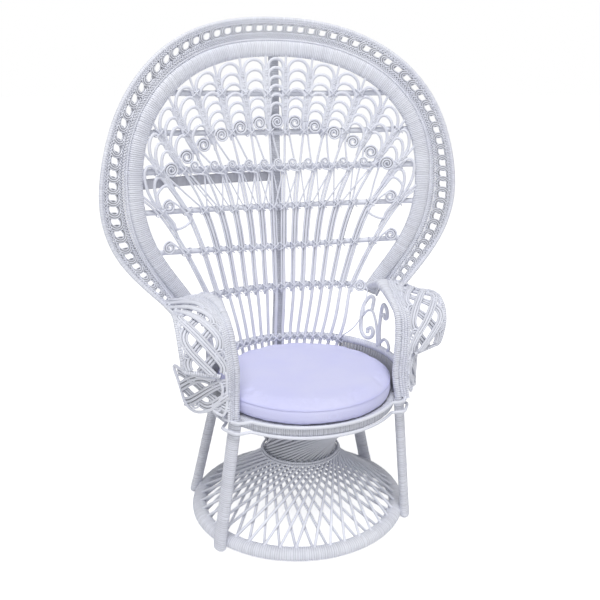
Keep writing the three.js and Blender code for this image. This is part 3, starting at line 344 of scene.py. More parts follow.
def combine(tree, operation, first, second):
    made = add(tree, "Math", operation=operation)
    tree.links.new(first, made.inputs[0])
    tree.links.new(second, made.inputs[1])
    return made.outputs["Value"]


def mix_colour(tree, factor, first, second, blend="MIX"):
    made = add(tree, "Mix", data_type="RGBA", blend_type=blend)
    for number, value in ((0, factor), (6, first), (7, second)):  # the sockets for colours
        if isinstance(value, bpy.types.NodeSocket):
            tree.links.new(value, made.inputs[number])
        else:
            made.inputs[number].default_value = value
    return made.outputs[2]


def ramp(tree, factor, *stops):
    made = add(tree, "ValToRGB", Fac=factor)
    for element, (place, colour) in zip(made.color_ramp.elements, stops):
        element.position = place
        element.color = (*colour, 1)
    return made.outputs["Color"]


def noise(tree, place, **values):
    return add(tree, "TexNoise", Vector=place, **values).outputs["Fac"]


def spread(tree, value, **limits):
    return add(tree, "MapRange", Value=value, **limits).outputs["Result"]


def bumps(tree, height, strength, distance):
    return add(tree, "Bump", Height=height, Strength=strength, Distance=distance).outputs["Normal"]


def painted_rattan():
    """White paint over cane: soft tone changes, painted shade in the grooves and between parts, grey
    specks of wear, fine grain.
    """
    material, tree, shader = new_material("painted_rattan")
    place = add(tree, "TexCoord").outputs["Object"]
    broad = noise(tree, place, Scale=9.0, Detail=3.0)
    fine = noise(tree, place, Scale=240.0, Detail=4.0, Roughness=0.6)
    paint = ramp(tree, broad, (0.36, (0.77, 0.785, 0.865)), (0.66, (0.83, 0.845, 0.91)))
    # The tone attribute carries random tone and painted shade: darker grooves, thin dark rods between
    # parts and darker pieces in shade
    tone = add(tree, "Attribute", attribute_name="tone").outputs["Color"]
    tone_and_painted_shade = mix_colour(tree, 1.0, paint, tone, "MULTIPLY")
    worn = spread(tree, fine, From_Min=0.62, From_Max=0.80, To_Max=0.35)
    colour = mix_colour(tree, worn, tone_and_painted_shade, (0.66, 0.66, 0.72, 1))
    rough = spread(tree, fine, To_Min=0.42, To_Max=0.66)
    bump = bumps(tree, fine, 0.25, 0.0006)
    set_inputs(tree, shader, Base_Color=colour, Roughness=rough, Normal=bump)
    return material


def board_with_painted_shade():
    """The flat brace and the seat deck: matt paint in a darker grey as painted shade, with long grain.
    """
    material, tree, shader = new_material("board_with_painted_shade")
    place = add(tree, "TexCoord").outputs["Object"]
    drawn = add(tree, "Mapping", Vector=place, Scale=(60.0, 60.0, 2.0)).outputs["Vector"]
    grain = noise(tree, drawn, Scale=3.0, Detail=5.0, Roughness=0.65)
    # The grey of this ramp is painted shade; the grain is the board's own
    paint = ramp(tree, grain, (0.30, (0.52, 0.525, 0.58)), (0.70, (0.66, 0.665, 0.72)))
    bump = bumps(tree, grain, 0.3, 0.0008)
    set_inputs(tree, shader, Base_Color=paint, Roughness=0.7, Normal=bump)
    return material


def cushion_cloth():
    """Lavender plain-weave cotton: crossing threads, slight mottling and a soft sheen."""
    material, tree, shader = new_material("cushion_cloth")
    place = add(tree, "TexCoord").outputs["Object"]
    threads = dict(Vector=place, Scale=520.0, Distortion=1.5)
    warp, weft = (add(tree, "TexWave", bands_direction=way, **threads).outputs["Fac"] for way in "XY")
    blot = noise(tree, place, Scale=7.0, Detail=3.0)
    weft_over_warp = combine(tree, "ADD", warp, weft)
    dye = ramp(tree, blot, (0.35, (0.70, 0.705, 1.0)), (0.68, (0.745, 0.75, 1.0)))
    shade = spread(tree, weft_over_warp, From_Max=2.0, To_Min=0.93, To_Max=1.03)
    colour = mix_colour(tree, 1.0, dye, shade, "MULTIPLY")
    bump = bumps(tree, weft_over_warp, 0.12, 0.0004)
    set_inputs(tree, shader, Base_Color=colour, Normal=bump, Roughness=0.85, Sheen_Weight=0.15,
               Sheen_Roughness=0.5)
    return material


RATTAN = painted_rattan()
SHADED_BOARD = board_with_painted_shade()
CLOTH = cushion_cloth()

# One turn of cane has four steps along a bundle, the first of them in the groove, where a darker tone
# paints the shade
TURN_SHIFT = np.array([0, -0.5, 0, 0.5])
TURN_LIFT = np.array([-1.0, 0.6, 0.8, 0.6])
TURN_TONES = (0.97, 1.03, 0.97)
CANE = 0.0062  # usual width of a turn
ARM_CANE = 0.0058
NARROW_CANE = 0.0056


class Shape:
    """Collects rods and wound bundles into one mesh."""

    def __init__(self):
        self.verts = []
        self.faces = []
        self.tones = []
        self.count = 0

    def grid(self, rings, tone, closed):
        """Skin over rings of points, capped at the ends when open."""
        steps, sides, _ = rings.shape
        ids = np.arange(steps * sides).reshape(steps, sides) + self.count
        after = np.roll(ids, -1, 0)
        quads = np.stack([ids, np.roll(ids, -1, 1), np.roll(after, -1, 1), after], -1)
        self.faces.extend(quads[:steps if closed else steps - 1].reshape(-1, 4).tolist())
        if not closed:
            self.faces += [ids[0, ::-1].tolist(), ids[-1].tolist()]
        self.verts.append(rings.reshape(-1, 3))
        self.tones.append(np.broadcast_to(np.asarray(tone, float), (steps, sides)).reshape(-1))
        self.count += steps * sides

    def rod(self, path, radius, sides=8, across=None, closed=False, tone=1.0):
        """A plain rod with softened ends."""
        path = np.asarray(path, float)
        r = np.broadcast_to(np.asarray(radius, float), len(path)).copy()
        if not closed:
            first = unit(path[1] - path[0])
            last = unit(path[-1] - path[-2])
            path = np.vstack([path[0] - first * r[0] * 0.5, path, path[-1] + last * r[-1] * 0.5])
            r = np.concatenate([[r[0] * 0.55], r, [r[-1] * 0.55]])
        _, u, v = frames(path, across, closed)
        turn = np.arange(sides) * 2 * math.pi / sides
        ring = np.cos(turn)[None, :, None] * u[:, None] + np.sin(turn)[None, :, None] * v[:, None]
        self.grid(path[:, None] + r[:, None, None] * ring, tone, closed)

    def groove(self, path, radius=0.0016):
        """A thin dark rod that paints the shade between two rods that lie together."""
        self.rod(path, radius, sides=5, tone=PAINTED_SHADE_TONE)

    def wound(self, path, width, thickness, across, pitch, sides=14, square=2.0, ridge=0.0008,
              closed=False, swell=None, groove=0.50, tone=1.0):
        """A bundle wound crosswise with cane: each turn is a ridge between two grooves, and the grooves
        get a darker tone as painted shade.
        """
        ring_up = lambda rows: np.vstack([rows, rows[:1]]) if closed else rows
        dense = ring_up(np.asarray(path, float))
        turns = max(2, int(round(lengths(dense)[-1] / pitch)))
        per = len(TURN_SHIFT)
        step = np.arange(turns * per + (0 if closed else 1))
        phase, turn_of = step % per, step // per % turns
        share = np.clip((step + TURN_SHIFT[phase]) / (turns * per), 0, 1)
        uneven = lambda spread: RNG.normal(0, spread, turns)[turn_of]
        centre = at_share(dense, share)
        if callable(across):
            guide = across(share)
        else:
            guide = at_share(ring_up(across), share) if np.ndim(across) == 2 else across
        along, u, v = frames(centre, guide, closed)
        lift = (TURN_LIFT[phase] + uneven(0.16)) * ridge
        scale = 1.0 if swell is None else swell(share)
        sizes = (size(share) if callable(size) else size for size in (width, thickness))
        half_w, half_t = (np.broadcast_to(size / 2 * scale + lift, len(step)) for size in sizes)
        angle = np.arange(sides) * 2 * math.pi / sides
        squared = lambda c: np.sign(c) * np.abs(c) ** (2 / square)
        ring = (half_w[:, None] * squared(np.cos(angle)))[:, :, None] * u[:, None]
        ring = ring + (half_t[:, None] * squared(np.sin(angle)))[:, :, None] * v[:, None]
        slant = uneven(0.10) * pitch
        ring = ring + (slant[:, None] * np.cos(angle))[:, :, None] * along[:, None]
        tones = tone * (np.array([groove, *TURN_TONES])[phase] + uneven(0.025))
        self.grid(centre[:, None] + ring, tones[:, None], closed)

    def dress(self, node, ending, **looks):
        """A piece named after the one node it stands for."""
        self.piece(f"{node}_{ending}", node, **looks)

    def piece(self, name, *nodes, material=RATTAN, body="frame", slot="rattan"):
        """Turns what was collected into an object that rides on a body and stands for its nodes."""
        mesh = bpy.data.meshes.new(name)
        mesh.from_pydata((np.vstack(self.verts) + [0, SHIFT_Y, 0]).tolist(), [], self.faces)
        mesh.polygons.foreach_set("use_smooth", np.full(len(mesh.polygons), True))
        tone = mesh.attributes.new("tone", "FLOAT", "POINT")
        tone.data.foreach_set("value", np.concatenate(self.tones).astype(np.float32))
        mesh.materials.append(material)
        mesh.update()
        item = new_object(name, mesh)
        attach(item, body)
        if nodes:
            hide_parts(*nodes)


# Round hoops, rods and legs
def ring_point(radius, degrees, z, centre_y=None):
    angle = np.radians(degrees)
    middle = axis_y(z) if centre_y is None else centre_y
    return cols(radius * np.cos(angle), middle + RING_DEPTH * radius * np.sin(angle), z)


def seat_point(radius, degrees, z):
    return ring_point(radius, degrees, z, -SEAT_FORWARD)


def outward(degrees):
    angle = np.radians(degrees)
    return cols(np.cos(angle), RING_DEPTH * np.sin(angle), 0.0)


CIRCLE = np.arange(240) * 1.5

shape = Shape()
shape.wound(ring_point(FLOOR_RADIUS, CIRCLE, FLOOR_HEIGHT), 2 * FLOOR_TUBE, 2 * FLOOR_HEIGHT - 0.005,
            outward(CIRCLE), CANE, sides=16, square=2.1, ridge=0.0010, closed=True, groove=0.70)
shape.dress("floor_hoop", "wound")

# The seat hoop gets a darker tone as painted shade
shape = Shape()
shape.wound(seat_point(SEAT_RADIUS, CIRCLE, SEAT_TOP - SEAT_HOOP_HEIGHT / 2), SEAT_HOOP_WIDTH,
            SEAT_HOOP_HEIGHT, outward(CIRCLE), NARROW_CANE, sides=16, square=3.2, ridge=0.0010,
            closed=True, groove=0.64, tone=0.86)
shape.dress("seat_hoop", "wound")


def twist_for(foot_r, head_r, throat):
    """Turn between a rod's ends that leaves the wanted throat."""
    turns = np.linspace(math.pi / 2, math.pi, 4001)
    chord = np.sqrt(foot_r**2 + head_r**2 - 2 * foot_r * head_r * np.cos(turns))
    return turns[np.argmin(np.abs(foot_r * head_r * np.sin(turns) / chord - throat))]


def rod_family(name, way, foot_r, foot_z, head_r, head_z, throat, tone):
    """Straight rods that all lean one way: together they make a waisted shell."""
    shape = Shape()
    twist = np.degrees(twist_for(foot_r, head_r, throat)) * way
    for i in range(ROD_COUNT):
        start = (i + RNG.normal(0, 0.03)) * 360 / ROD_COUNT
        foot = ring_point(foot_r, start, foot_z)
        head = ring_point(head_r, start + twist + RNG.normal(0, 0.25), head_z)
        share = shares(9)
        slim = 1 - 0.13 * np.exp(-(((share[:, 0] - 0.64) / 0.2) ** 2))
        size = ROD_RADIUS * slim * (1 + RNG.normal(0, 0.03, 9))
        shade = tone + RNG.normal(0, 0.02)
        path = mix(foot, head, share)
        shape.rod(path[:UPPER_ROD + 1], size[:UPPER_ROD + 1], tone=shade)
        shape.rod(path[UPPER_ROD:], size[UPPER_ROD:], tone=shade * UPPER_TONE)
    shape.piece(name + "_round", *[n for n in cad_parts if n.startswith(name)])


foot_r, foot_z = FLOOR_RADIUS - 0.003, FLOOR_HEIGHT + 0.013
head_z = SEAT_TOP - SEAT_HOOP_HEIGHT / 2 - ROD_SPREAD / 2
# The outer rods get a lighter tone than the inner rods behind them, as painted light and shade
rod_family("pedestal_rods_outer", 1, foot_r, foot_z, SEAT_RADIUS, head_z, THROAT_RADIUS, tone=1.10)
rod_family("pedestal_rods_inner", -1, foot_r - ROD_SPREAD / 2, foot_z - ROD_SPREAD * 0.7,
           SEAT_RADIUS - ROD_SPREAD / 3, head_z + ROD_SPREAD * 0.5, THROAT_RADIUS - 2.2 * ROD_RADIUS,
           tone=1.0)

shape = Shape()
for level in (-WAIST_CORD, WAIST_CORD):
    shape.wound(ring_point(WAIST_RADIUS - level * 0.6, CIRCLE, WAIST_Z + level), 2 * WAIST_CORD,
                2 * WAIST_CORD, outward(CIRCLE), 0.006, sides=8, ridge=0.0003, closed=True, groove=0.85)
shape.piece("waist_cords", "waist_hoop")


def leg_swell(t):
    """A leg is thicker just above its foot, and its end is rounded off."""
    return 1 + 0.07 * np.exp(-(((t - 0.045) / 0.04) ** 2)) - 0.22 * smoothstep(-t, -0.012, 0.0)


for side, sign in SIDES:
    for place, angles in (("front", FRONT_ANGLES), ("rear", REAR_ANGLES)):
        foot_turn, top_turn = (-angle if sign > 0 else 180 + angle for angle in angles)
        foot = ring_point(FOOT_RADIUS, foot_turn, 0.0, 0.0) + UP * FOOT_LIFT
        top = seat_point(LEG_TOP_RADIUS, top_turn, SEAT_TOP)
        sideways = np.array([-math.sin(math.radians(top_turn)), math.cos(math.radians(top_turn)), 0])
        shape = Shape()
        shape.wound(mix(foot, top, shares(40)), LEG_WIDTH, LEG_THICKNESS, sideways,
                    CANE, sides=16, ridge=0.0011, swell=leg_swell, groove=0.60)
        shape.dress(f"leg_{place}_{side}", "wound")


def seat_cord(name, z):
    """A cord round the seat that loops out round each leg."""
    plain = SEAT_RADIUS + SEAT_HOOP_WIDTH / 2 + 0.001 + SEAT_CORD
    legs = [-FRONT_ANGLES[1], -REAR_ANGLES[1], 180 + REAR_ANGLES[1], 180 + FRONT_ANGLES[1]]
    loop = LEG_THICKNESS + 0.002 + (FOOT_RADIUS - LEG_TOP_RADIUS) * max(0, 1 - z / SEAT_TOP)
    hold = math.degrees(LEG_WIDTH * 0.6 / LEG_TOP_RADIUS)
    away = np.min([np.abs((CIRCLE - a + 540) % 360 - 180) for a in legs], axis=0)
    radius = plain + loop * (1 - smoothstep(away, hold, hold * 2.2))
    shape = Shape()
    shape.rod(seat_point(radius, CIRCLE, z), SEAT_CORD, sides=10, across=UP, closed=True)
    shape.dress(name, "round")


seat_cord("seat_cord_upper", SEAT_TOP + SEAT_CORD / 2)
seat_cord("seat_cord_lower", SEAT_TOP - SEAT_HOOP_HEIGHT)


# The sheet in which the back lies
def sheet_y(x, z):
    height = z - FAN_ROOT
    sweep = x * x - SIDE_EASE * np.maximum(np.abs(x) - SIDE_EASE_START, 0) ** 2
    fan = FAN_ROOT_Y + FAN_RECLINE * height - (FAN_CURVE + FAN_CURVE_RISE * height) * sweep
    reach = np.maximum(RIB_SEAT_RADIUS**2 - x * x, (RIB_SEAT_RADIUS / 3) ** 2)
    wrap = -SEAT_FORWARD + RING_DEPTH * np.sqrt(reach)
    return mix(wrap, fan, smoothstep(z, SEAT_RAIL_Z + WRAP_MARGIN, RAIL_Z[-1]))


def sheet_normal(x, z):
    step = 0.0005
    slope_x = (sheet_y(x + step, z) - sheet_y(x - step, z)) / (2 * step)
    slope_z = (sheet_y(x, z + step) - sheet_y(x, z - step)) / (2 * step)
    return unit(cols(-slope_x, 1.0, -slope_z))


def on_sheet(flat, depth=0.0):
    """Points of the sheet for rows of x and z, set back by a depth."""
    x, z = np.asarray(flat, float).T
    return cols(x, sheet_y(x, z), z) + sheet_normal(x, z) * np.broadcast_to(depth, len(x))[:, None]


def hoop_edge():
    """Right half of the hoop's inner edge from the top down, as x and z."""
    power = 2 / HOOP_SQUARENESS
    turn = np.linspace(0, math.pi / 2, 241)
    upper = cols(HOOP_HALF_WIDTH * np.sin(turn) ** power,
                 HOOP_MIDDLE + HOOP_RISE * np.maximum(np.cos(turn), 0) ** power)
    fall = unit(np.array([HOOP_FOOT_SLOPE, 1.0])) * HOOP_BOW
    foot = np.array(HOOP_FOOT)
    corners = [upper[-1], upper[-1] - [0, HOOP_BOW], foot + fall, foot]
    t = np.linspace(0, 1, 121)[1:, None]
    lower = (1 - t) ** 3 * corners[0] + 3 * t * (1 - t) ** 2 * corners[1]
    lower = lower + 3 * t**2 * (1 - t) * corners[2] + t**3 * corners[3]
    return even(np.vstack([upper, lower, foot - 0.4 * fall]), 0.004)


EDGE = hoop_edge()
EDGE_LENGTHS = lengths(EDGE)
EDGE_OUT = unit(left_of(np.gradient(EDGE, axis=0)))
EDGE_OUT[0] = (0, 1)


def past_trim(outward_by):
    """How far a place lies across the border: none up to the lace, one at the rim."""
    return np.maximum(np.asarray(outward_by) - LACE_START, 0) / (RIM_OUT - LACE_START)


def fan_flat(along, outward_by):
    """x and z of places along the inner edge (left is negative), that far outward on the sheet."""
    along, outward_by = np.broadcast_arrays(np.asarray(along, float), np.asarray(outward_by, float))
    s = np.abs(along)
    point = at_length(EDGE, EDGE_LENGTHS, s)
    way = unit(at_length(EDGE_OUT, EDGE_LENGTHS, s))
    share = s / EDGE_LENGTHS[-1]
    fullness = np.exp(-(((share - BORDER_FULL[0]) / BORDER_FULL[1]) ** 2))
    pinch = BORDER_PINCH * smoothstep(share, *BORDER_ENDING)
    outward_by = outward_by + past_trim(outward_by) * (BORDER_SWELL * fullness - pinch)
    for _ in range(6):
        ahead = point + way * 0.001
        slope = (sheet_y(ahead[:, 0], ahead[:, 1]) - sheet_y(point[:, 0], point[:, 1])) / 0.001
        point = point + way * (outward_by / 6 / np.hypot(1, slope))[:, None]
    return point * cols(np.where(along < 0, -1.0, 1.0), 1.0)


def fan_path(along, outward_by, depth=BAND_DEPTH):
    ending = smoothstep(np.abs(along) / EDGE_LENGTHS[-1], *BORDER_ENDING)
    return on_sheet(fan_flat(along, outward_by), depth - past_trim(outward_by) * BORDER_BEND * ending)


def length_at(outward_by, z):
    s = np.linspace(EDGE_LENGTHS[-1] / 2, EDGE_LENGTHS[-1], 400)
    return s[np.argmin(np.abs(fan_flat(s, outward_by)[:, 1] - z))]


def fan_bundle(name, outward_by, width, thickness, end, pitch, **cane):
    """A wound bundle along the fan's edge, from one arm over the top to the other."""
    s = np.linspace(-end, end, 500)
    path = fan_path(s, outward_by)
    shape = Shape()
    shape.wound(path, width, thickness, fan_path(s, outward_by + 0.001) - path, pitch, **cane)
    shape.dress(name, "wound")


band_end = length_at(BAND_WIDTH / 2, BAND_END_Z)
rim_end = length_at(RIM_OUT, BORDER_END_Z)
lace_end = length_at(LACE_START + LACE_WIDTH / 2, BORDER_END_Z)
fan_bundle("main_hoop", BAND_WIDTH / 2, BAND_WIDTH, BAND_THICKNESS, band_end, NARROW_CANE,
           sides=18, square=2.6, ridge=0.0011, groove=0.70)
fan_bundle("hoop_trim", BAND_WIDTH + TRIM_ROD + 0.0008, 2 * TRIM_ROD, 2 * TRIM_ROD, band_end, CANE,
           sides=8, ridge=0.0004, groove=0.82)
fan_bundle("outer_rim", RIM_OUT, 2 * OUTER_RIM, 2 * OUTER_RIM, rim_end, 0.0064,
           sides=10, ridge=0.0003, groove=0.86)


def strands(shape, flat_path, place, radius, spread, depth):
    """Three strands side by side along a path given in a surface's own two lengths, with thin dark rods
    between them as painted shade.
    """
    aside = left_of(unit(np.gradient(flat_path, axis=0)))
    for k, tone in ((-1, 0.90), (0, 1.03), (1, 0.95)):
        shape.rod(place(flat_path + aside * spread * k, depth), radius, sides=6, tone=tone)
    for k in (-0.5, 0.5):
        shape.rod(place(flat_path + aside * spread * k, depth), spread - 1.7 * radius, sides=4,
                  tone=PAINTED_SHADE_TONE)


# Lace: overlapping plaited rings between the trim and the rim, with crossing strands at both edges
LACE_MIDDLE = LACE_START + 0.0295
RING_PITCH = 2 * lace_end / LACE_RINGS
RING_HALF = RING_PITCH * 0.57
RING_RISE = 0.0145
RING_LEAN = 0.16 * RING_HALF
RING_TURN = np.linspace(-0.06, 2 * math.pi + 0.06, 30)
LACE_CORD = 0.0052
# Middle and reach of the crossing strands, and where the dark rods behind them run, which paint the
# shade in the gaps
LACE_CROSSINGS = ((LACE_START + 0.0085, 0.0065), (LACE_START + LACE_WIDTH - 0.0022, 0.0042))
LACE_SHADES = (LACE_START + 0.0075, LACE_START + LACE_WIDTH - 0.0075)


def lace_place(flat, depth):
    return fan_path(flat[:, 0], flat[:, 1], depth)


for side, sign in SIDES:
    for half, place in enumerate(("upper", "lower")):
        shape = Shape()
        for i in range(LACE_RINGS // 2):
            middle = (i + 0.5) * RING_PITCH
            if (middle < lace_end / 2) != (place == "upper"):
                continue
            along = RING_HALF * np.cos(RING_TURN) + RING_LEAN * np.sin(RING_TURN)
            flat = cols(sign * middle + along, LACE_MIDDLE + RING_RISE * np.sin(RING_TURN))
            strands(shape, flat, lace_place, STRAND * 0.64, STRAND * 1.62,
                    BAND_DEPTH + 0.0036 * np.cos(RING_TURN))
        s = sign * np.linspace(lace_end / 2 * half, lace_end / 2 * (half + 1), 800)
        for middle, reach in LACE_CROSSINGS:
            for quarter in range(4):
                wave = s * 2 * math.pi / RING_PITCH + quarter * math.pi / 2
                depth = BAND_DEPTH - 0.002 + 0.002 * np.sin(2 * wave)
                shape.rod(fan_path(s, middle + reach * np.cos(wave), depth), STRAND * 0.58, sides=5)
        # A thin dark rod along the inside of the outer rim: painted shade
        shape.groove(fan_path(s, RIM_OUT - OUTER_RIM - 0.0006))
        s = sign * np.linspace(lace_end / 2 * half, lace_end / 2 * (half + 1), 130)
        path = fan_path(s, LACE_START + 0.001)
        guide = fan_path(s, LACE_START + 0.002) - path
        shape.wound(path, LACE_CORD, LACE_CORD, guide, 0.006, sides=8, ridge=0.0004)
        # Dark rods behind the crossing strands: painted shade in the gaps
        for across in LACE_SHADES:
            shape.rod(fan_path(s, across, BAND_DEPTH + 0.0075), 0.0036, sides=6, tone=0.60)
        shape.dress(f"lace_{place}_{side}", "rings")


# Rails
def rail_line(z, rise):
    """A rail's path behind the ribs, from hoop to hoop."""
    lower = EDGE[:, 1] <= HOOP_MIDDLE
    part = EDGE[lower] if z + rise <= HOOP_MIDDLE else EDGE[~lower]
    reach = np.interp(-(z + rise), -part[:, 1], part[:, 0]) + BAND_WIDTH * 0.3
    share = np.linspace(-1, 1, 60)
    return cols(share * reach, z + rise * share**2)


RAIL_LINES = [rail_line(z, rise) for z, rise in RAILS]
for i, line in enumerate(RAIL_LINES):
    size = RAIL_RADIUS * (THICK_RAIL[1] if i == THICK_RAIL[0] else 1)
    shape = Shape()
    shape.rod(on_sheet(line, RAIL_DEPTH), size * (1 + 0.03 * np.sin(np.linspace(0, 23, len(line)) + i)),
              sides=12, across=UP)
    shape.dress(f"rail_{i + 1}", "round")

turn = np.linspace(-SEAT_RAIL_ANGLE, 180 + SEAT_RAIL_ANGLE, 120)
shape = Shape()
shape.wound(seat_point(SEAT_RAIL_RADIUS, turn, SEAT_RAIL_Z - 0.003), SEAT_RAIL_HEIGHT, 2 * RAIL_RADIUS,
            UP, 0.0075, sides=12, ridge=0.0003, groove=0.88)
shape.dress("rail_7", "wound")


# Ribs, as x and z from the seat to the hoop
def rib_line(j, sign):
    far = j + LAST_RIB_SPREAD if j == RIBS_PER_SIDE - 1 else j
    end = fan_flat([RIB_HOOP[0] + RIB_HOOP[1] * far], [BAND_WIDTH / 2])[0]
    flat = [(RIB_SEAT[0] + RIB_SEAT[1] * j, SEAT_TOP),
            (RIB_SEAT_RAIL[0] + RIB_SEAT_RAIL[1] * j, SEAT_RAIL_Z),
            (RIB_RAIL_6[0] + RIB_RAIL_6[1] * j, RAIL_Z[5]),
            (RIB_RAIL_4[0] + RIB_RAIL_4[1] * far + RIB_RAIL_4_SPREAD * far * far, RAIL_Z[3]), tuple(end)]
    return even(spline(flat, 24), 0.006) * np.array([sign, 1.0])


RIB_NAMES = [f"rib_left_{j}" for j in range(RIBS_PER_SIDE, 0, -1)] + \
            [f"rib_right_{j}" for j in range(1, RIBS_PER_SIDE + 1)]
RIBS = [rib_line(j, -1) for j in range(RIBS_PER_SIDE - 1, -1, -1)] + \
       [rib_line(j, 1) for j in range(RIBS_PER_SIDE)]
LAST = len(RIBS) - 1


def rib_x(i, z):
    return np.interp(z, RIBS[i][:, 1], RIBS[i][:, 0])


def beside(i, z, offset):
    """Places beside a rib, set off square to it."""
    z = np.atleast_1d(np.asarray(z, float))
    slope = (rib_x(i, z + 0.004) - rib_x(i, z - 0.004)) / 0.008
    return cols(rib_x(i, z), z) + unit(cols(1.0, -slope)) * offset


def near(i, z, offset):
    """One place beside a rib."""
    return beside(i, z, offset)[0]


def below_hoop(i, distance):
    """Places on a rib at distances down from its end in the hoop, with the way up."""
    s = lengths(RIBS[i])
    want = s[-1] - np.atleast_1d(distance)
    point, ahead, back = (at_length(RIBS[i], s, want + step) for step in (0, 0.006, -0.006))
    return point, unit(ahead - back)


def spiral(centre, radius, inner, turns, start, way=-1):
    """A roll from the outside in, and the line midway between its turns, as x and z."""
    lines = []
    for share, beyond in ((np.linspace(0, 1, int(turns * 22)), 0),
                          (np.linspace(0, 1 - 1 / turns, int(turns * 18)), 1 / turns)):
        angle = math.radians(start) + way * share * turns * 2 * math.pi
        r = (mix(radius, inner, share**0.9) + mix(radius, inner, (share + beyond) ** 0.9)) / 2
        lines.append(cols(centre[0] + r * np.cos(angle), centre[1] + r * np.sin(angle)))
    return lines


def curl_centre(bay):
    z = CURL_TOP
    for _ in range(12):
        x = (rib_x(bay, z) + rib_x(bay + 1, z)) / 2
        z = CURL_TOP - CURL_DROP * x * x
    return np.array([x, z])


def curl_with_stem(shape, bay):
    """One rod: up beside the rib on the bay's right, over to the curl's left side, then rolled up."""
    centre = curl_centre(bay)
    roll, groove = spiral(centre, CURL_RADIUS, CURL_ROD * 1.1, CURL_TURNS, 180)
    high = centre[1] > RAIL_Z[2] + 0.045
    leave_z = RAIL_Z[2] - 0.012 if high else RAIL_Z[3] + 0.02
    stem = beside(bay + 1, np.linspace(RAIL_Z[5] - 0.02, leave_z, 40), -(RIB_ROD + STEM_ROD + ROD_GAP))
    left = centre - [CURL_RADIUS, 0]
    halfway = mix(stem[-1], left, 0.55) + [-0.001, -0.004]
    bridge = spline([stem[-1], halfway, left - [0, 0.006], left], 8)[1:-1]
    parts = (stem, bridge, roll)
    along = lambda *ends: np.concatenate([np.linspace(a, b, len(p)) for p, (a, b) in zip(parts, ends)])
    depth = along((0, 0), (0, CURL_DEPTH), (CURL_DEPTH, CURL_DEPTH))
    size = along((STEM_ROD, STEM_ROD), (STEM_ROD, CURL_ROD), (CURL_ROD, CURL_ROD * 0.75))
    shape.rod(on_sheet(np.vstack(parts), depth), size, sides=7)
    # A thin dark rod between the roll's turns: painted shade
    shape.groove(on_sheet(groove, CURL_DEPTH + 0.0008))


def arches(shape, bay):
    """Stacked arches between two ribs, from just under the hoop down to the bay's curl."""
    has_curl = 0 < bay < LAST - 1
    centre = curl_centre(bay)
    inset = RIB_ROD * 0.6 + ARCH_ROD
    turn = np.radians(np.linspace(180, 0, 19))[:, None]
    steps = np.linspace(0, 1, 6)
    distance = BAND_WIDTH / 2 + 0.006
    for _ in range(12):
        (left,), (up_left,) = below_hoop(bay, distance)
        (right,), (up_right,) = below_hoop(bay + 1, distance)
        width = np.linalg.norm(right - left)
        crown = (left + right) / 2
        clear = np.linalg.norm(crown - centre) >= CURL_RADIUS + ARCH_ROD + 0.007
        if not (clear and crown[1] >= centre[1] if has_curl else crown[1] >= RAIL_Z[3] + 0.06):
            break
        rise = (width / 2 - inset) * 0.92
        foot_distance = distance + rise
        (foot_left,), _ = below_hoop(bay, foot_distance)
        (foot_right,), _ = below_hoop(bay + 1, foot_distance)
        span = foot_right - foot_left
        half = np.linalg.norm(span) / 2 - inset
        bow = (foot_left + foot_right) / 2 + unit(span) * half * np.cos(turn)
        bow = bow + unit(up_left + up_right) * rise * np.sin(turn)
        legs = []
        for rib, inward in ((bay, 1), (bay + 1, -1)):
            leg, up = below_hoop(rib, foot_distance + np.linspace(1, 0.12, 6) * width * 0.7)
            legs.append(leg - left_of(up) * inward * mix(RIB_ROD * 0.2, inset, steps)[:, None])
        sink = (1 - steps) * 0.006
        depth = np.concatenate([sink, -0.002 * np.sin(turn[:, 0]), sink[::-1]])
        shape.rod(on_sheet(np.vstack([legs[0], bow, legs[1][::-1]]), depth), ARCH_ROD)
        wrap, _ = below_hoop(bay + 1, foot_distance + np.linspace(0.018, 0.0, 8))
        shape.wound(on_sheet(wrap, 0.002), 0.0180, 0.0125, np.array([1.0, 0.0, 0.35]), 0.0045, sides=10,
                    ridge=0.0010)
        distance += max(width * ARCH_PITCH, 0.026)


for i, name in enumerate(RIB_NAMES):
    shape = Shape()
    line = RIBS[i]
    size = np.interp(line[:, 1], [SEAT_TOP, RAIL_Z[5], RAIL_Z[4], RAIL_Z[2], 1.4],
                     [RIB_FOOT, RIB_FOOT, RIB_ROD, RIB_ROD, RIB_ROD * 0.85])
    shape.rod(on_sheet(line), size * (1 + 0.02 * np.sin(np.arange(len(line)) * 0.21 + i)))
    if i in (0, 1, LAST - 1, LAST):
        outer = beside(i, np.linspace(RAIL_Z[5] - 0.01, RAIL_Z[2], 60),
                       np.sign(i - len(RIBS) / 2) * (RIB_ROD + STEM_ROD + ROD_GAP))
        shape.rod(on_sheet(outer), STEM_ROD * 1.15, sides=7)
    if i > 0:
        arches(shape, i - 1)
    if 1 < i < LAST:
        curl_with_stem(shape, i - 1)
        # Thin dark rods along both sides of the rib: painted shade between it and the rods beside it
        for aside, low in ((-1, 5), (1, 4)):
            flat = beside(i, np.linspace(RAIL_Z[low], RAIL_Z[3], 20), aside * (RIB_ROD + ROD_GAP / 2))
            shape.groove(on_sheet(flat, 0.0012), 0.0014)
    shape.dress(name, "rods")


# Small curls on the third rail and the thin rods that cross below it
shape = Shape()
for bay in range(2, LAST - 2):
    z = RAIL_Z[2] + RAILS[2][1] * (rib_x(bay, RAIL_Z[2]) / 0.44) ** 2
    x = (rib_x(bay, z) + rib_x(bay + 1, z)) / 2
    roll, groove = spiral((x, z + 0.013), SMALL_CURL, SMALL_ROD, 2.1, 200)
    # A thin dark rod between the curl's turns: painted shade
    shape.groove(on_sheet(groove, -0.0078), 0.0013)
    tail = spline([near(bay + 1, z - 0.014, -0.004), roll[0] - [-0.006, 0.014], roll[0]], 6)[:-1]
    shape.rod(on_sheet(np.vstack([tail, roll]), -0.0085), SMALL_ROD, sides=6)
shape.piece("rail_3_small_curls")

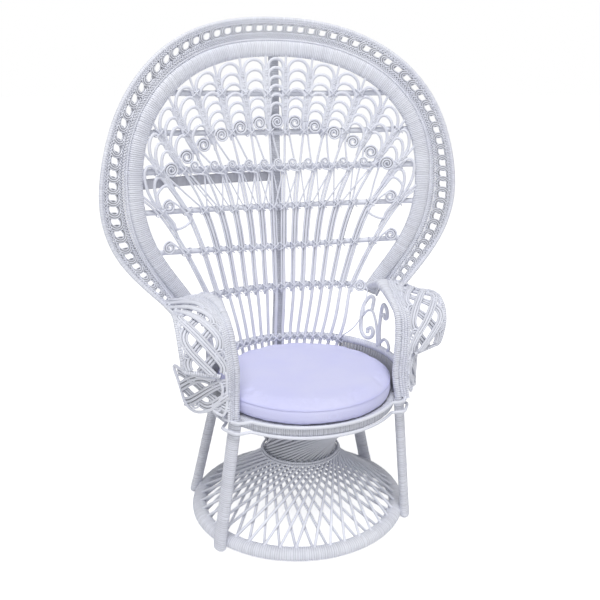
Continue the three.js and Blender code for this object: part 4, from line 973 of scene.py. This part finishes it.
shape = Shape()
for rib in range(2, LAST - 1):
    low_z, top_z = RAIL_Z[3], RAIL_Z[2]
    # Each side: number of the rail it starts from, steps up to the crossing, offset, depths and size
    for aside, rail, steps, hold, depth, size in (
            (-1, 3, 3, 2 * STEM_ROD + THIN_ROD, (0.003, 0.003), THIN_ROD * 0.85),
            (1, 4, 24, THIN_ROD + ROD_GAP, (0.0, -0.003), THIN_ROD)):
        if not 1 < rib + aside < LAST - 1:
            continue
        heights = np.linspace(RAIL_Z[rail] - 0.006, low_z + 0.006, steps)
        lower = beside(rib, heights, aside * (RIB_ROD + hold))
        end = near(rib + aside, top_z - 0.004, -aside * 0.004)
        cross = mix(lower[-1], end, shares(10)[1:])
        depths = np.repeat(depth, (len(lower), len(cross)))
        shape.rod(on_sheet(np.vstack([lower, cross]), depths), size, sides=7)
shape.piece("rail_4_cross_rods")


# Cane ties where the ribs cross the rails
def tie(shape, x, z, half, rise, rear, flip):
    """Two crossed bands round a rib and the rail behind it."""
    centre = on_sheet([(x, z)])[0]
    back = sheet_normal(np.array([x]), np.array([z]))[0]
    up = -unit(np.cross(back, RIGHT))
    right = unit(np.cross(up, back)) * flip
    for way in (-1, 1):
        a, b, c = half, rise * way, TIE_FRONT
        corners = [(-a, -b, c / 2), (0, 0, c), (a, b, c / 2), (a * 0.8, b * 0.7, rear * 0.6),
                   (0, 0, rear), (-a * 0.8, -b * 0.7, rear * 0.6)]
        loop = np.array([centre + right * a + up * b + back * c for a, b, c in corners])
        ring = spline(np.vstack([loop, loop[:1]]), 4)[:-1]
        shape.rod(ring, TIE_ROD, sides=6, closed=True, across=up + back * 0.3 + right * 0.2)


for number, line in enumerate(RAIL_LINES):
    shape = Shape()
    middle, rise = RAILS[number]
    for i, rib in enumerate(RIBS):
        z = middle
        for _ in range(4):
            z = middle + rise * np.clip(rib_x(i, z) / line[-1, 0], -1, 1) ** 2
        x = rib_x(i, z)
        if abs(x) <= line[-1, 0] - 0.012 and z <= rib[-1, 1] - 0.02:
            tie(shape, x, z, 0.0125, 0.0115, RAIL_DEPTH + RAIL_RADIUS + 0.002, -1)
    shape.piece(f"rail_{number + 1}_ties")

shape = Shape()
for i in range(len(RIBS)):
    tie(shape, rib_x(i, SEAT_RAIL_Z), SEAT_RAIL_Z, 0.0115, 0.0110, RAIL_DEPTH + RAIL_RADIUS + 0.003, 1)
shape.piece("rail_7_ties")


# Curls, loops and wires at the sides of the fan
shape = Shape()
for _, sign in SIDES:
    last, inner = (0, 1) if sign < 0 else (LAST, LAST - 1)
    for x, z, join_z, rib in ((0.354, 0.951, 0.915, inner), (0.358, 0.828, 0.790, last),
                              (0.262, 0.657, 0.640, last)):
        roll, groove = spiral((sign * x, z), SIDE_CURL, 0.0032, 2.4, 90, way=-sign)
        # A thin dark rod between the curl's turns: painted shade
        shape.groove(on_sheet(groove, -0.0042))
        start = near(rib, join_z, sign * 0.007)
        tail = spline([start, mix(start, roll[0], 0.5) + [0, 0.006], roll[0]], 8)[:-1]
        shape.rod(on_sheet(np.vstack([tail, roll]), -0.005), 0.0031, sides=7)
    at = lambda x, z: (sign * x, z)
    rib_foot = lambda z: rib_x(LAST, z)
    loop = [near(inner, 0.930, sign * 0.006), near(inner, 0.905, sign * 0.008), at(0.313, 0.885),
            at(0.334, 0.882), near(last, 0.895, -sign * 0.010), near(last, 0.935, -sign * 0.007)]
    ring = [near(inner, 0.945, sign * 0.006), near(inner, 0.985, sign * 0.008), at(0.362, 1.012),
            at(0.388, 0.988), near(last, 0.945, -sign * 0.008)]
    wire = [at(0.262, 0.6735), at(0.281, 0.664), at(0.285, 0.640), at(0.270, 0.612),
            at(rib_foot(0.53) * 1.12, 0.53), at(rib_foot(SEAT_RAIL_Z), SEAT_RAIL_Z + 0.004)]
    for points, size, sides in ((loop, 0.0042, 7), (ring, 0.0042, 7), (wire, 0.0021, 6)):
        shape.rod(on_sheet(spline(points, 10), -0.004), size, sides=sides)
shape.piece("fan_side_scrolls")

post_z = np.linspace(*POST_ENDS, 120)
post_path = on_sheet(cols(0.0, post_z), RAIL_DEPTH + RAIL_RADIUS + POST_THICKNESS / 2)
shape = Shape()
# The post gets a darker tone as painted shade, lying behind the ribs
shape.wound(post_path, POST_WIDTH, POST_THICKNESS, RIGHT, CANE, sides=16, square=3.6, ridge=0.0005,
            groove=0.80, tone=0.86)
shape.dress("back_post", "wound", slot="shaded_rattan")

for name in ("back_brace", "seat_deck"):
    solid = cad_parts[name]
    solid.data.materials.clear()
    solid.data.materials.append(SHADED_BOARD)


# Arms
def weave(shape, place, long, wide, levels, height):
    """Two pairs of plaited bands, one crossing where the other turns, with loops along the edges."""
    spacing = long / levels
    t = np.linspace(0, levels * math.pi / 2, int(levels * 22))
    half = wide / 2 - 3.0 * STRAND
    for quarter in range(4):
        phase = quarter * math.pi / 2
        along = spacing * 2 / math.pi * (t - 0.10 * np.sin(2 * (t + phase)))
        flat = cols(along, wide / 2 + half * np.cos(t + phase))
        strands(shape, flat, place, STRAND * 1.3, STRAND * 2.8, height * np.sin(t + phase))
    turn = np.linspace(0, 2 * math.pi, 22)
    for level in np.arange(0.5, levels):
        for edge, way in ((0.0, 1), (wide, -1)):
            for reach, tone in ((EDGE_LOOP * 0.65, 0.92), (EDGE_LOOP * 1.25, 1.02)):
                flat = cols(level * spacing + reach * 1.2 * np.cos(turn),
                            edge + way * EDGE_LOOP * 1.25 + reach * np.sin(turn))
                shape.rod(place(flat, height * np.cos(turn + level)), STRAND * 0.95, sides=6, tone=tone)


def arm(side, sign):
    """One arm, worked out on the right: bow, cords, cuff with its rim, skirt and scrolls."""
    flip = np.array([sign, 1.0, 1.0])
    start_s = length_at(BAND_WIDTH / 2, BOW_START_Z)
    start = fan_path([start_s], [BAND_WIDTH / 2], BAND_DEPTH - BAND_THICKNESS / 2 + 0.003)[0]
    leg_top = seat_point(LEG_TOP_RADIUS, -FRONT_ANGLES[1], SEAT_TOP)
    route = [(mix(start[0], ARM_POST_X, inward), y, ARM_TOP - fall) for inward, y, fall in BOW_ROUTE]
    bow = spline([start, *route, (leg_top[0], leg_top[1], SEAT_TOP - 0.004)], 24)
    rear_bow, front_bow = bow[:len(bow) // 2], bow[len(bow) // 2:]
    width_at = lambda u: mix(BAND_WIDTH, BOW_WIDTH, smoothstep(u, *BOW_NARROWS))

    def side_way(u):
        turn = math.radians(BOW_TURN) * smoothstep(np.asarray(u, float), *BOW_NARROWS)
        return cols(np.cos(turn), -np.sin(turn), 0.0)

    def beside_bow(u, away):
        return at_share(bow, u) + side_way(u) * (width_at(u) / 2 + 0.001 + away)[:, None]

    shape = Shape()
    shape.wound(bow * flip, width_at, BOW_THICKNESS, lambda u: side_way(u) * flip, ARM_CANE, sides=16,
                square=2.6, ridge=0.0012)
    shape.dress(f"arm_bow_{side}", "wound")

    # Cords along the bow's outer edge
    shape = Shape()
    for k, begin in ((1, 0.05), (3, 0.05), (5, 0.12)):
        path = beside_bow(np.linspace(begin, 0.985, 120), k * ARM_CORD)
        shape.wound(path * flip, 2 * ARM_CORD, 2 * ARM_CORD, RIGHT, ARM_CANE, sides=9, ridge=0.0006)
    shape.dress(f"arm_trim_{side}", "cords")

    # The cuff's surface: from the cords out to a free edge, over the arm and down its front
    front_lengths = lengths(bow)[len(bow) // 2:]
    share_at = lambda z: np.interp(-np.asarray(z), -front_bow[:, 2], front_lengths) / lengths(bow)[-1]
    cuff_end = float(share_at(CUFF_INNER_END))
    beyond_cords = 6 * ARM_CORD + 0.001
    inner_edge = lambda u: beside_bow(mix(CUFF_START, cuff_end, u), beyond_cords)
    rear = at_share(bow, [CUFF_START])[0]
    free = spline([(CUFF_REAR[0], rear[1], rear[2] - CUFF_REAR[1])] +
                  [(x, y, ARM_TOP - fall) for x, y, fall in CUFF_EDGE], 24)
    long = lengths(free)[-1]

    def cuff_point(flat, depth):
        u, v = np.clip(flat[:, 0] / long, 0, 1), flat[:, 1:] / CUFF_WIDTH
        between = lambda u: mix(inner_edge(u), at_share(free, u), v)
        ahead, behind = (between(np.clip(u + step, 0, 1)) for step in (0.01, -0.01))
        normal = unit(np.cross(at_share(free, u) - inner_edge(u), ahead - behind))
        return (between(u) - normal * np.broadcast_to(depth, len(u))[:, None]) * flip

    shape = Shape()
    weave(shape, cuff_point, long, CUFF_WIDTH, CUFF_LEVELS, 0.0045)
    shape.dress(f"cuff_{side}", "weave")

    rim_u = np.linspace(0, 1, 60)
    rim = at_share(free, rim_u) + unit(at_share(free, rim_u) - inner_edge(rim_u)) * CUFF_RIM
    last_fall = unit(free[-1] - free[-4])
    bottom = mix(inner_edge(np.array([1.0])), free[-1:], np.linspace(0.9, 0.02, 12)[:, None])
    bottom = bottom + last_fall * CUFF_RIM
    corner = [rim[-1] + last_fall * CUFF_RIM * 0.7]
    rod = spline(np.vstack([rim[::6], corner, bottom[::3]]), 8)
    shape = Shape()
    shape.wound(rod * flip, 2 * CUFF_RIM, 2 * CUFF_RIM, np.array([0, 1.0, 1.0]), CANE, sides=9,
                ridge=0.0006)
    shape.dress(f"cuff_rim_{side}", "wound")

    # Skirt: a plaited wing with a bent rod round its edge
    tall = SKIRT_TOP - SKIRT_BOTTOM

    def skirt_point(flat, depth):
        u, v = flat[:, :1] / SKIRT_DEEP, flat[:, 1:] / tall
        inside = beside_bow(share_at(mix(SKIRT_BOTTOM, SKIRT_TOP, v[:, 0])), beyond_cords)
        outside = mix(np.array(SKIRT_CORNER), np.array(SKIRT_EAR), v)
        bulge = np.sin(np.clip(u, 0, 1) * math.pi) * np.array([0.0, -0.012, 0.0])
        raised = np.array([0.65, -0.75, 0.0]) * np.broadcast_to(depth, len(u))[:, None]
        return (mix(inside, outside, u) + bulge + raised) * flip

    shape = Shape()
    weave(shape, skirt_point, SKIRT_DEEP, tall, 2.0, 0.004)
    for points, depth, size in ((SKIRT_RIM, 0.004, 0.0044), (SKIRT_LOOP, 0.002, 0.0040)):
        flat = spline(np.array(points) * [SKIRT_DEEP, tall], 10)
        shape.rod(skirt_point(flat, depth), size)
    shape.dress(f"skirt_{side}", "weave")

    # Scrolls under the arm: bent canes between the seat rail and the bow
    def scroll_point(flat, depth):
        y, z = flat.T
        rail_x = np.sqrt(SEAT_RAIL_RADIUS**2 - ((y + SEAT_FORWARD) / RING_DEPTH) ** 2)
        bow_x = np.interp(-y, -rear_bow[:, 1], rear_bow[:, 0])
        x = mix(rail_x, bow_x, (z - SCROLL_FOOT) / (ARM_TOP - BOW_THICKNESS / 2 - SCROLL_FOOT)) - depth
        return cols(x, y, z) * flip

    shape = Shape()
    for points, size, depth in SCROLLS:
        shape.rod(scroll_point(spline(points, 10), depth), size)
    shape.dress(f"arm_scroll_{side}", "canes")


for side, sign in SIDES:
    arm(side, sign)

# Close stakes at the seat's sides up to the seat rail, in a dark tone as painted shade
shape = Shape()
for degrees in np.arange(-24.0, 47.0, 2.35):
    for _, sign in SIDES:
        turn = degrees if sign > 0 else 180 - degrees
        low = seat_point(RIB_SEAT_RADIUS, turn, SEAT_TOP + 0.001)
        high = seat_point(RIB_SEAT_RADIUS + 0.012, turn, SEAT_RAIL_Z - 0.013)
        shape.rod(mix(low, high, shares(4)), 0.0050, sides=7, tone=0.5)
shape.piece("seat_side_stakes")


# Cushion
CUSHION_RADIUS = 0.2615
CUSHION_FRONT = 0.011  # how much further it reaches in front
CUSHION_FOOT = SEAT_TOP + 0.001
# Share of the radius, and height, from the middle of the bottom to the middle of the top
CUSHION_PROFILE = [(0.0, 0.0), (0.35, 0.0), (0.72, 0.0), (0.955, 0.000), (0.990, 0.003), (1.0, 0.014),
                   (1.0, 0.032), (0.985, 0.046), (0.955, 0.053), (0.85, 0.057), (0.60, 0.061),
                   (0.30, 0.063), (0.0, 0.063)]
CUSHION_TURN = np.arange(96) * 3.75
SEAM_HEIGHT = 0.044
SEAM_CORD = 0.0009
VOXEL = 0.006
SWELL_LIMIT = 0.008
SWELL_FRAMES = 20
SWELL_PRESSURE = 4.0


def cushion_ring(share, height):
    """A ring of the sewn shape, which reaches a little further in front."""
    front = np.maximum(-np.sin(np.radians(CUSHION_TURN)), 0) ** 3
    radius = (CUSHION_RADIUS + CUSHION_FRONT * front) * share
    return seat_point(radius, CUSHION_TURN, CUSHION_FOOT + height)


def keep_shape(item):
    """Makes what the modifiers show the object's own mesh."""
    graph = bpy.context.evaluated_depsgraph_get()
    shown = bpy.data.meshes.new_from_object(item.evaluated_get(graph))
    item.modifiers.clear()
    item.data = shown


def corners(item):
    flat = np.empty(3 * len(item.data.vertices), np.float32)
    item.data.vertices.foreach_get("co", flat)
    return flat.reshape(-1, 3).astype(float)


def swell(item):
    """Puffs the sewn shape up as cloth under pressure, with each point's move capped."""
    remesh = item.modifiers.new("even_mesh", "REMESH")
    remesh.mode = "VOXEL"
    remesh.voxel_size = VOXEL
    keep_shape(item)
    start = corners(item)
    cloth = item.modifiers.new("cloth", "CLOTH")
    cloth.settings.use_pressure = True
    cloth.settings.uniform_pressure_force = SWELL_PRESSURE
    cloth.settings.effector_weights.gravity = 0.0
    for number in range(1, SWELL_FRAMES + 1):
        bpy.context.scene.frame_set(number)
    keep_shape(item)
    bpy.context.scene.frame_set(1)
    move = corners(item) - start
    size = np.linalg.norm(move, axis=1, keepdims=True)
    points = start + move * np.minimum(1, SWELL_LIMIT / np.maximum(size, 1e-9))
    points[:, 2] = np.maximum(points[:, 2], CUSHION_FOOT)
    middle = np.array([0, -SEAT_FORWARD + SHIFT_Y])
    same_width = np.abs(start[:, 0]).max() / np.abs(points[:, 0]).max()
    points[:, :2] = middle + (points[:, :2] - middle) * same_width
    item.data.vertices.foreach_set("co", points.astype(np.float32).reshape(-1))
    item.data.update()


def cushion():
    """A round box cushion, swollen as cloth, with a corded seam round the top of its side."""
    count = len(CUSHION_TURN)
    rings = [cushion_ring(share, height) for share, height in CUSHION_PROFILE[1:-1]]
    ends = [[[0, -SEAT_FORWARD, CUSHION_FOOT + CUSHION_PROFILE[k][1]]] for k in (0, -1)]
    verts = np.vstack(rings + ends) + [0, SHIFT_Y, 0]
    pairs = [(k, (k + 1) % count) for k in range(count)]
    last = (len(rings) - 1) * count
    faces = [[i + k, i + n, i + count + n, i + count + k]
             for i in range(0, last, count) for k, n in pairs]
    bottom, top = len(verts) - 2, len(verts) - 1
    for k, n in pairs:
        faces += [[bottom, n, k], [top, last + k, last + n]]
    mesh = bpy.data.meshes.new("cushion_sewn")
    mesh.from_pydata(verts.tolist(), [], faces)
    mesh.materials.append(CLOTH)
    item = new_object("cushion_sewn", mesh)
    swell(item)
    item.data.polygons.foreach_set("use_smooth", np.full(len(item.data.polygons), True))
    seam_line = find_seam(item)
    smooth = item.modifiers.new("smooth", "SUBSURF")
    smooth.levels = smooth.render_levels = 1
    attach(item, "loose_cushion")
    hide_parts("cushion")
    seam = Shape()
    seam.rod(seam_line, SEAM_CORD, sides=6, closed=True, across=UP)
    seam.piece("cushion_seam", material=CLOTH, body="loose_cushion", slot="cushion_cloth")


def find_seam(item):
    """A smooth line round the cushion at the seam's height."""
    points = corners(item) - [0, -SEAT_FORWARD + SHIFT_Y, 0]
    side = points[np.abs(points[:, 2] - CUSHION_FOOT - SEAM_HEIGHT) < VOXEL]
    angle = np.arctan2(side[:, 1] / RING_DEPTH, side[:, 0])
    reach = np.hypot(side[:, 0], side[:, 1] / RING_DEPTH)
    turn = np.arange(0, 360, 3.0)
    apart = lambda a: np.abs((angle - a + math.pi) % (2 * math.pi) - math.pi)
    r = np.array([reach[apart(a) < 0.07].max() for a in np.radians(turn)])
    for _ in range(6):
        r = (np.roll(r, 1) + 2 * r + np.roll(r, -1)) / 4
    return seat_point(r, turn, CUSHION_FOOT + SEAM_HEIGHT)


cushion()


# Floor, light and camera
def show_apart(tree, output, lighting, shown):
    """One shader lights the chair; rays from the camera, mirrored or through glass get the other."""
    rays = add(tree, "LightPath").outputs
    seen = combine(tree, "MAXIMUM", rays["Is Camera Ray"], rays["Is Glossy Ray"])
    pick = add(tree, "MixShader", Fac=combine(tree, "MAXIMUM", seen, rays["Is Transmission Ray"]))
    tree.links.new(lighting, pick.inputs[1])
    tree.links.new(shown, pick.inputs[2])
    tree.links.new(pick.outputs["Shader"], tree.nodes[output].inputs["Surface"])


def stage():
    """A white floor and a white world that are seen brighter than they light."""
    s = FLOOR_REACH
    mesh = bpy.data.meshes.new("floor")
    mesh.from_pydata([(-s, -s, 0), (s, -s, 0), (s, s, 0), (-s, s, 0)], [], [(0, 1, 2, 3)])
    material, tree, shader = new_material("studio_floor")
    set_inputs(tree, shader, Base_Color=(0.92, 0.92, 0.93, 1), Roughness=1.0, Specular_IOR_Level=0.0)
    both = add(tree, "AddShader")
    tree.links.new(shader.outputs["BSDF"], both.inputs[0])
    tree.links.new(add(tree, "Emission", Strength=FLOOR_GLOW).outputs["Emission"], both.inputs[1])
    show_apart(tree, "Material Output", shader.outputs["BSDF"], both.outputs["Shader"])
    mesh.materials.append(material)
    new_object("floor", mesh)

    world = bpy.data.worlds.new("studio")
    world.use_nodes = True
    tree = world.node_tree
    light = set_inputs(tree, tree.nodes["Background"], Color=(0.97, 0.98, 1.0, 1), Strength=WORLD_LIGHT)
    white = add(tree, "Background", Color=(1, 1, 1, 1), Strength=1.0)
    show_apart(tree, "World Output", light.outputs["Background"], white.outputs["Background"])
    bpy.context.scene.world = world


def lamp(name, place, target, size, power):
    data = bpy.data.lights.new(name, "AREA")
    data.shape = "DISK"
    data.size = size
    data.energy = power
    item = new_object(name, data)
    item.location = place
    item.rotation_euler = (Vector(target) - Vector(place)).to_track_quat("-Z", "Y").to_euler()


def camera():
    turn, dip, roll = (math.radians(v) for v in (CAMERA_TURN, CAMERA_DIP, CAMERA_ROLL))
    data = bpy.data.cameras.new("photo_camera")
    data.sensor_width = SENSOR
    data.lens = FOCAL_PIXELS / IMAGE_SIZE * SENSOR
    data.shift_x = 0.5 - IMAGE_CENTRE[0] / IMAGE_SIZE
    data.shift_y = IMAGE_CENTRE[1] / IMAGE_SIZE - 0.5
    item = new_object("photo_camera", data)
    pose = Matrix.Translation(CAMERA_PLACE)
    for angle, axis in ((turn, "Z"), (math.pi / 2 - dip, "X"), (roll, "Z")):
        pose = pose @ Matrix.Rotation(angle, 4, axis)
    item.matrix_world = pose
    bpy.context.scene.camera = item


stage()
lamp("overhead", (-1.2, -3.4, 7.6), (0, 0, 0.7), 4.4, 395)
lamp("fill", (-1.5, -5.5, 0.9), (0, 0, 0.8), 4.0, 34)
camera()
bpy.context.scene.view_settings.view_transform = "Standard"
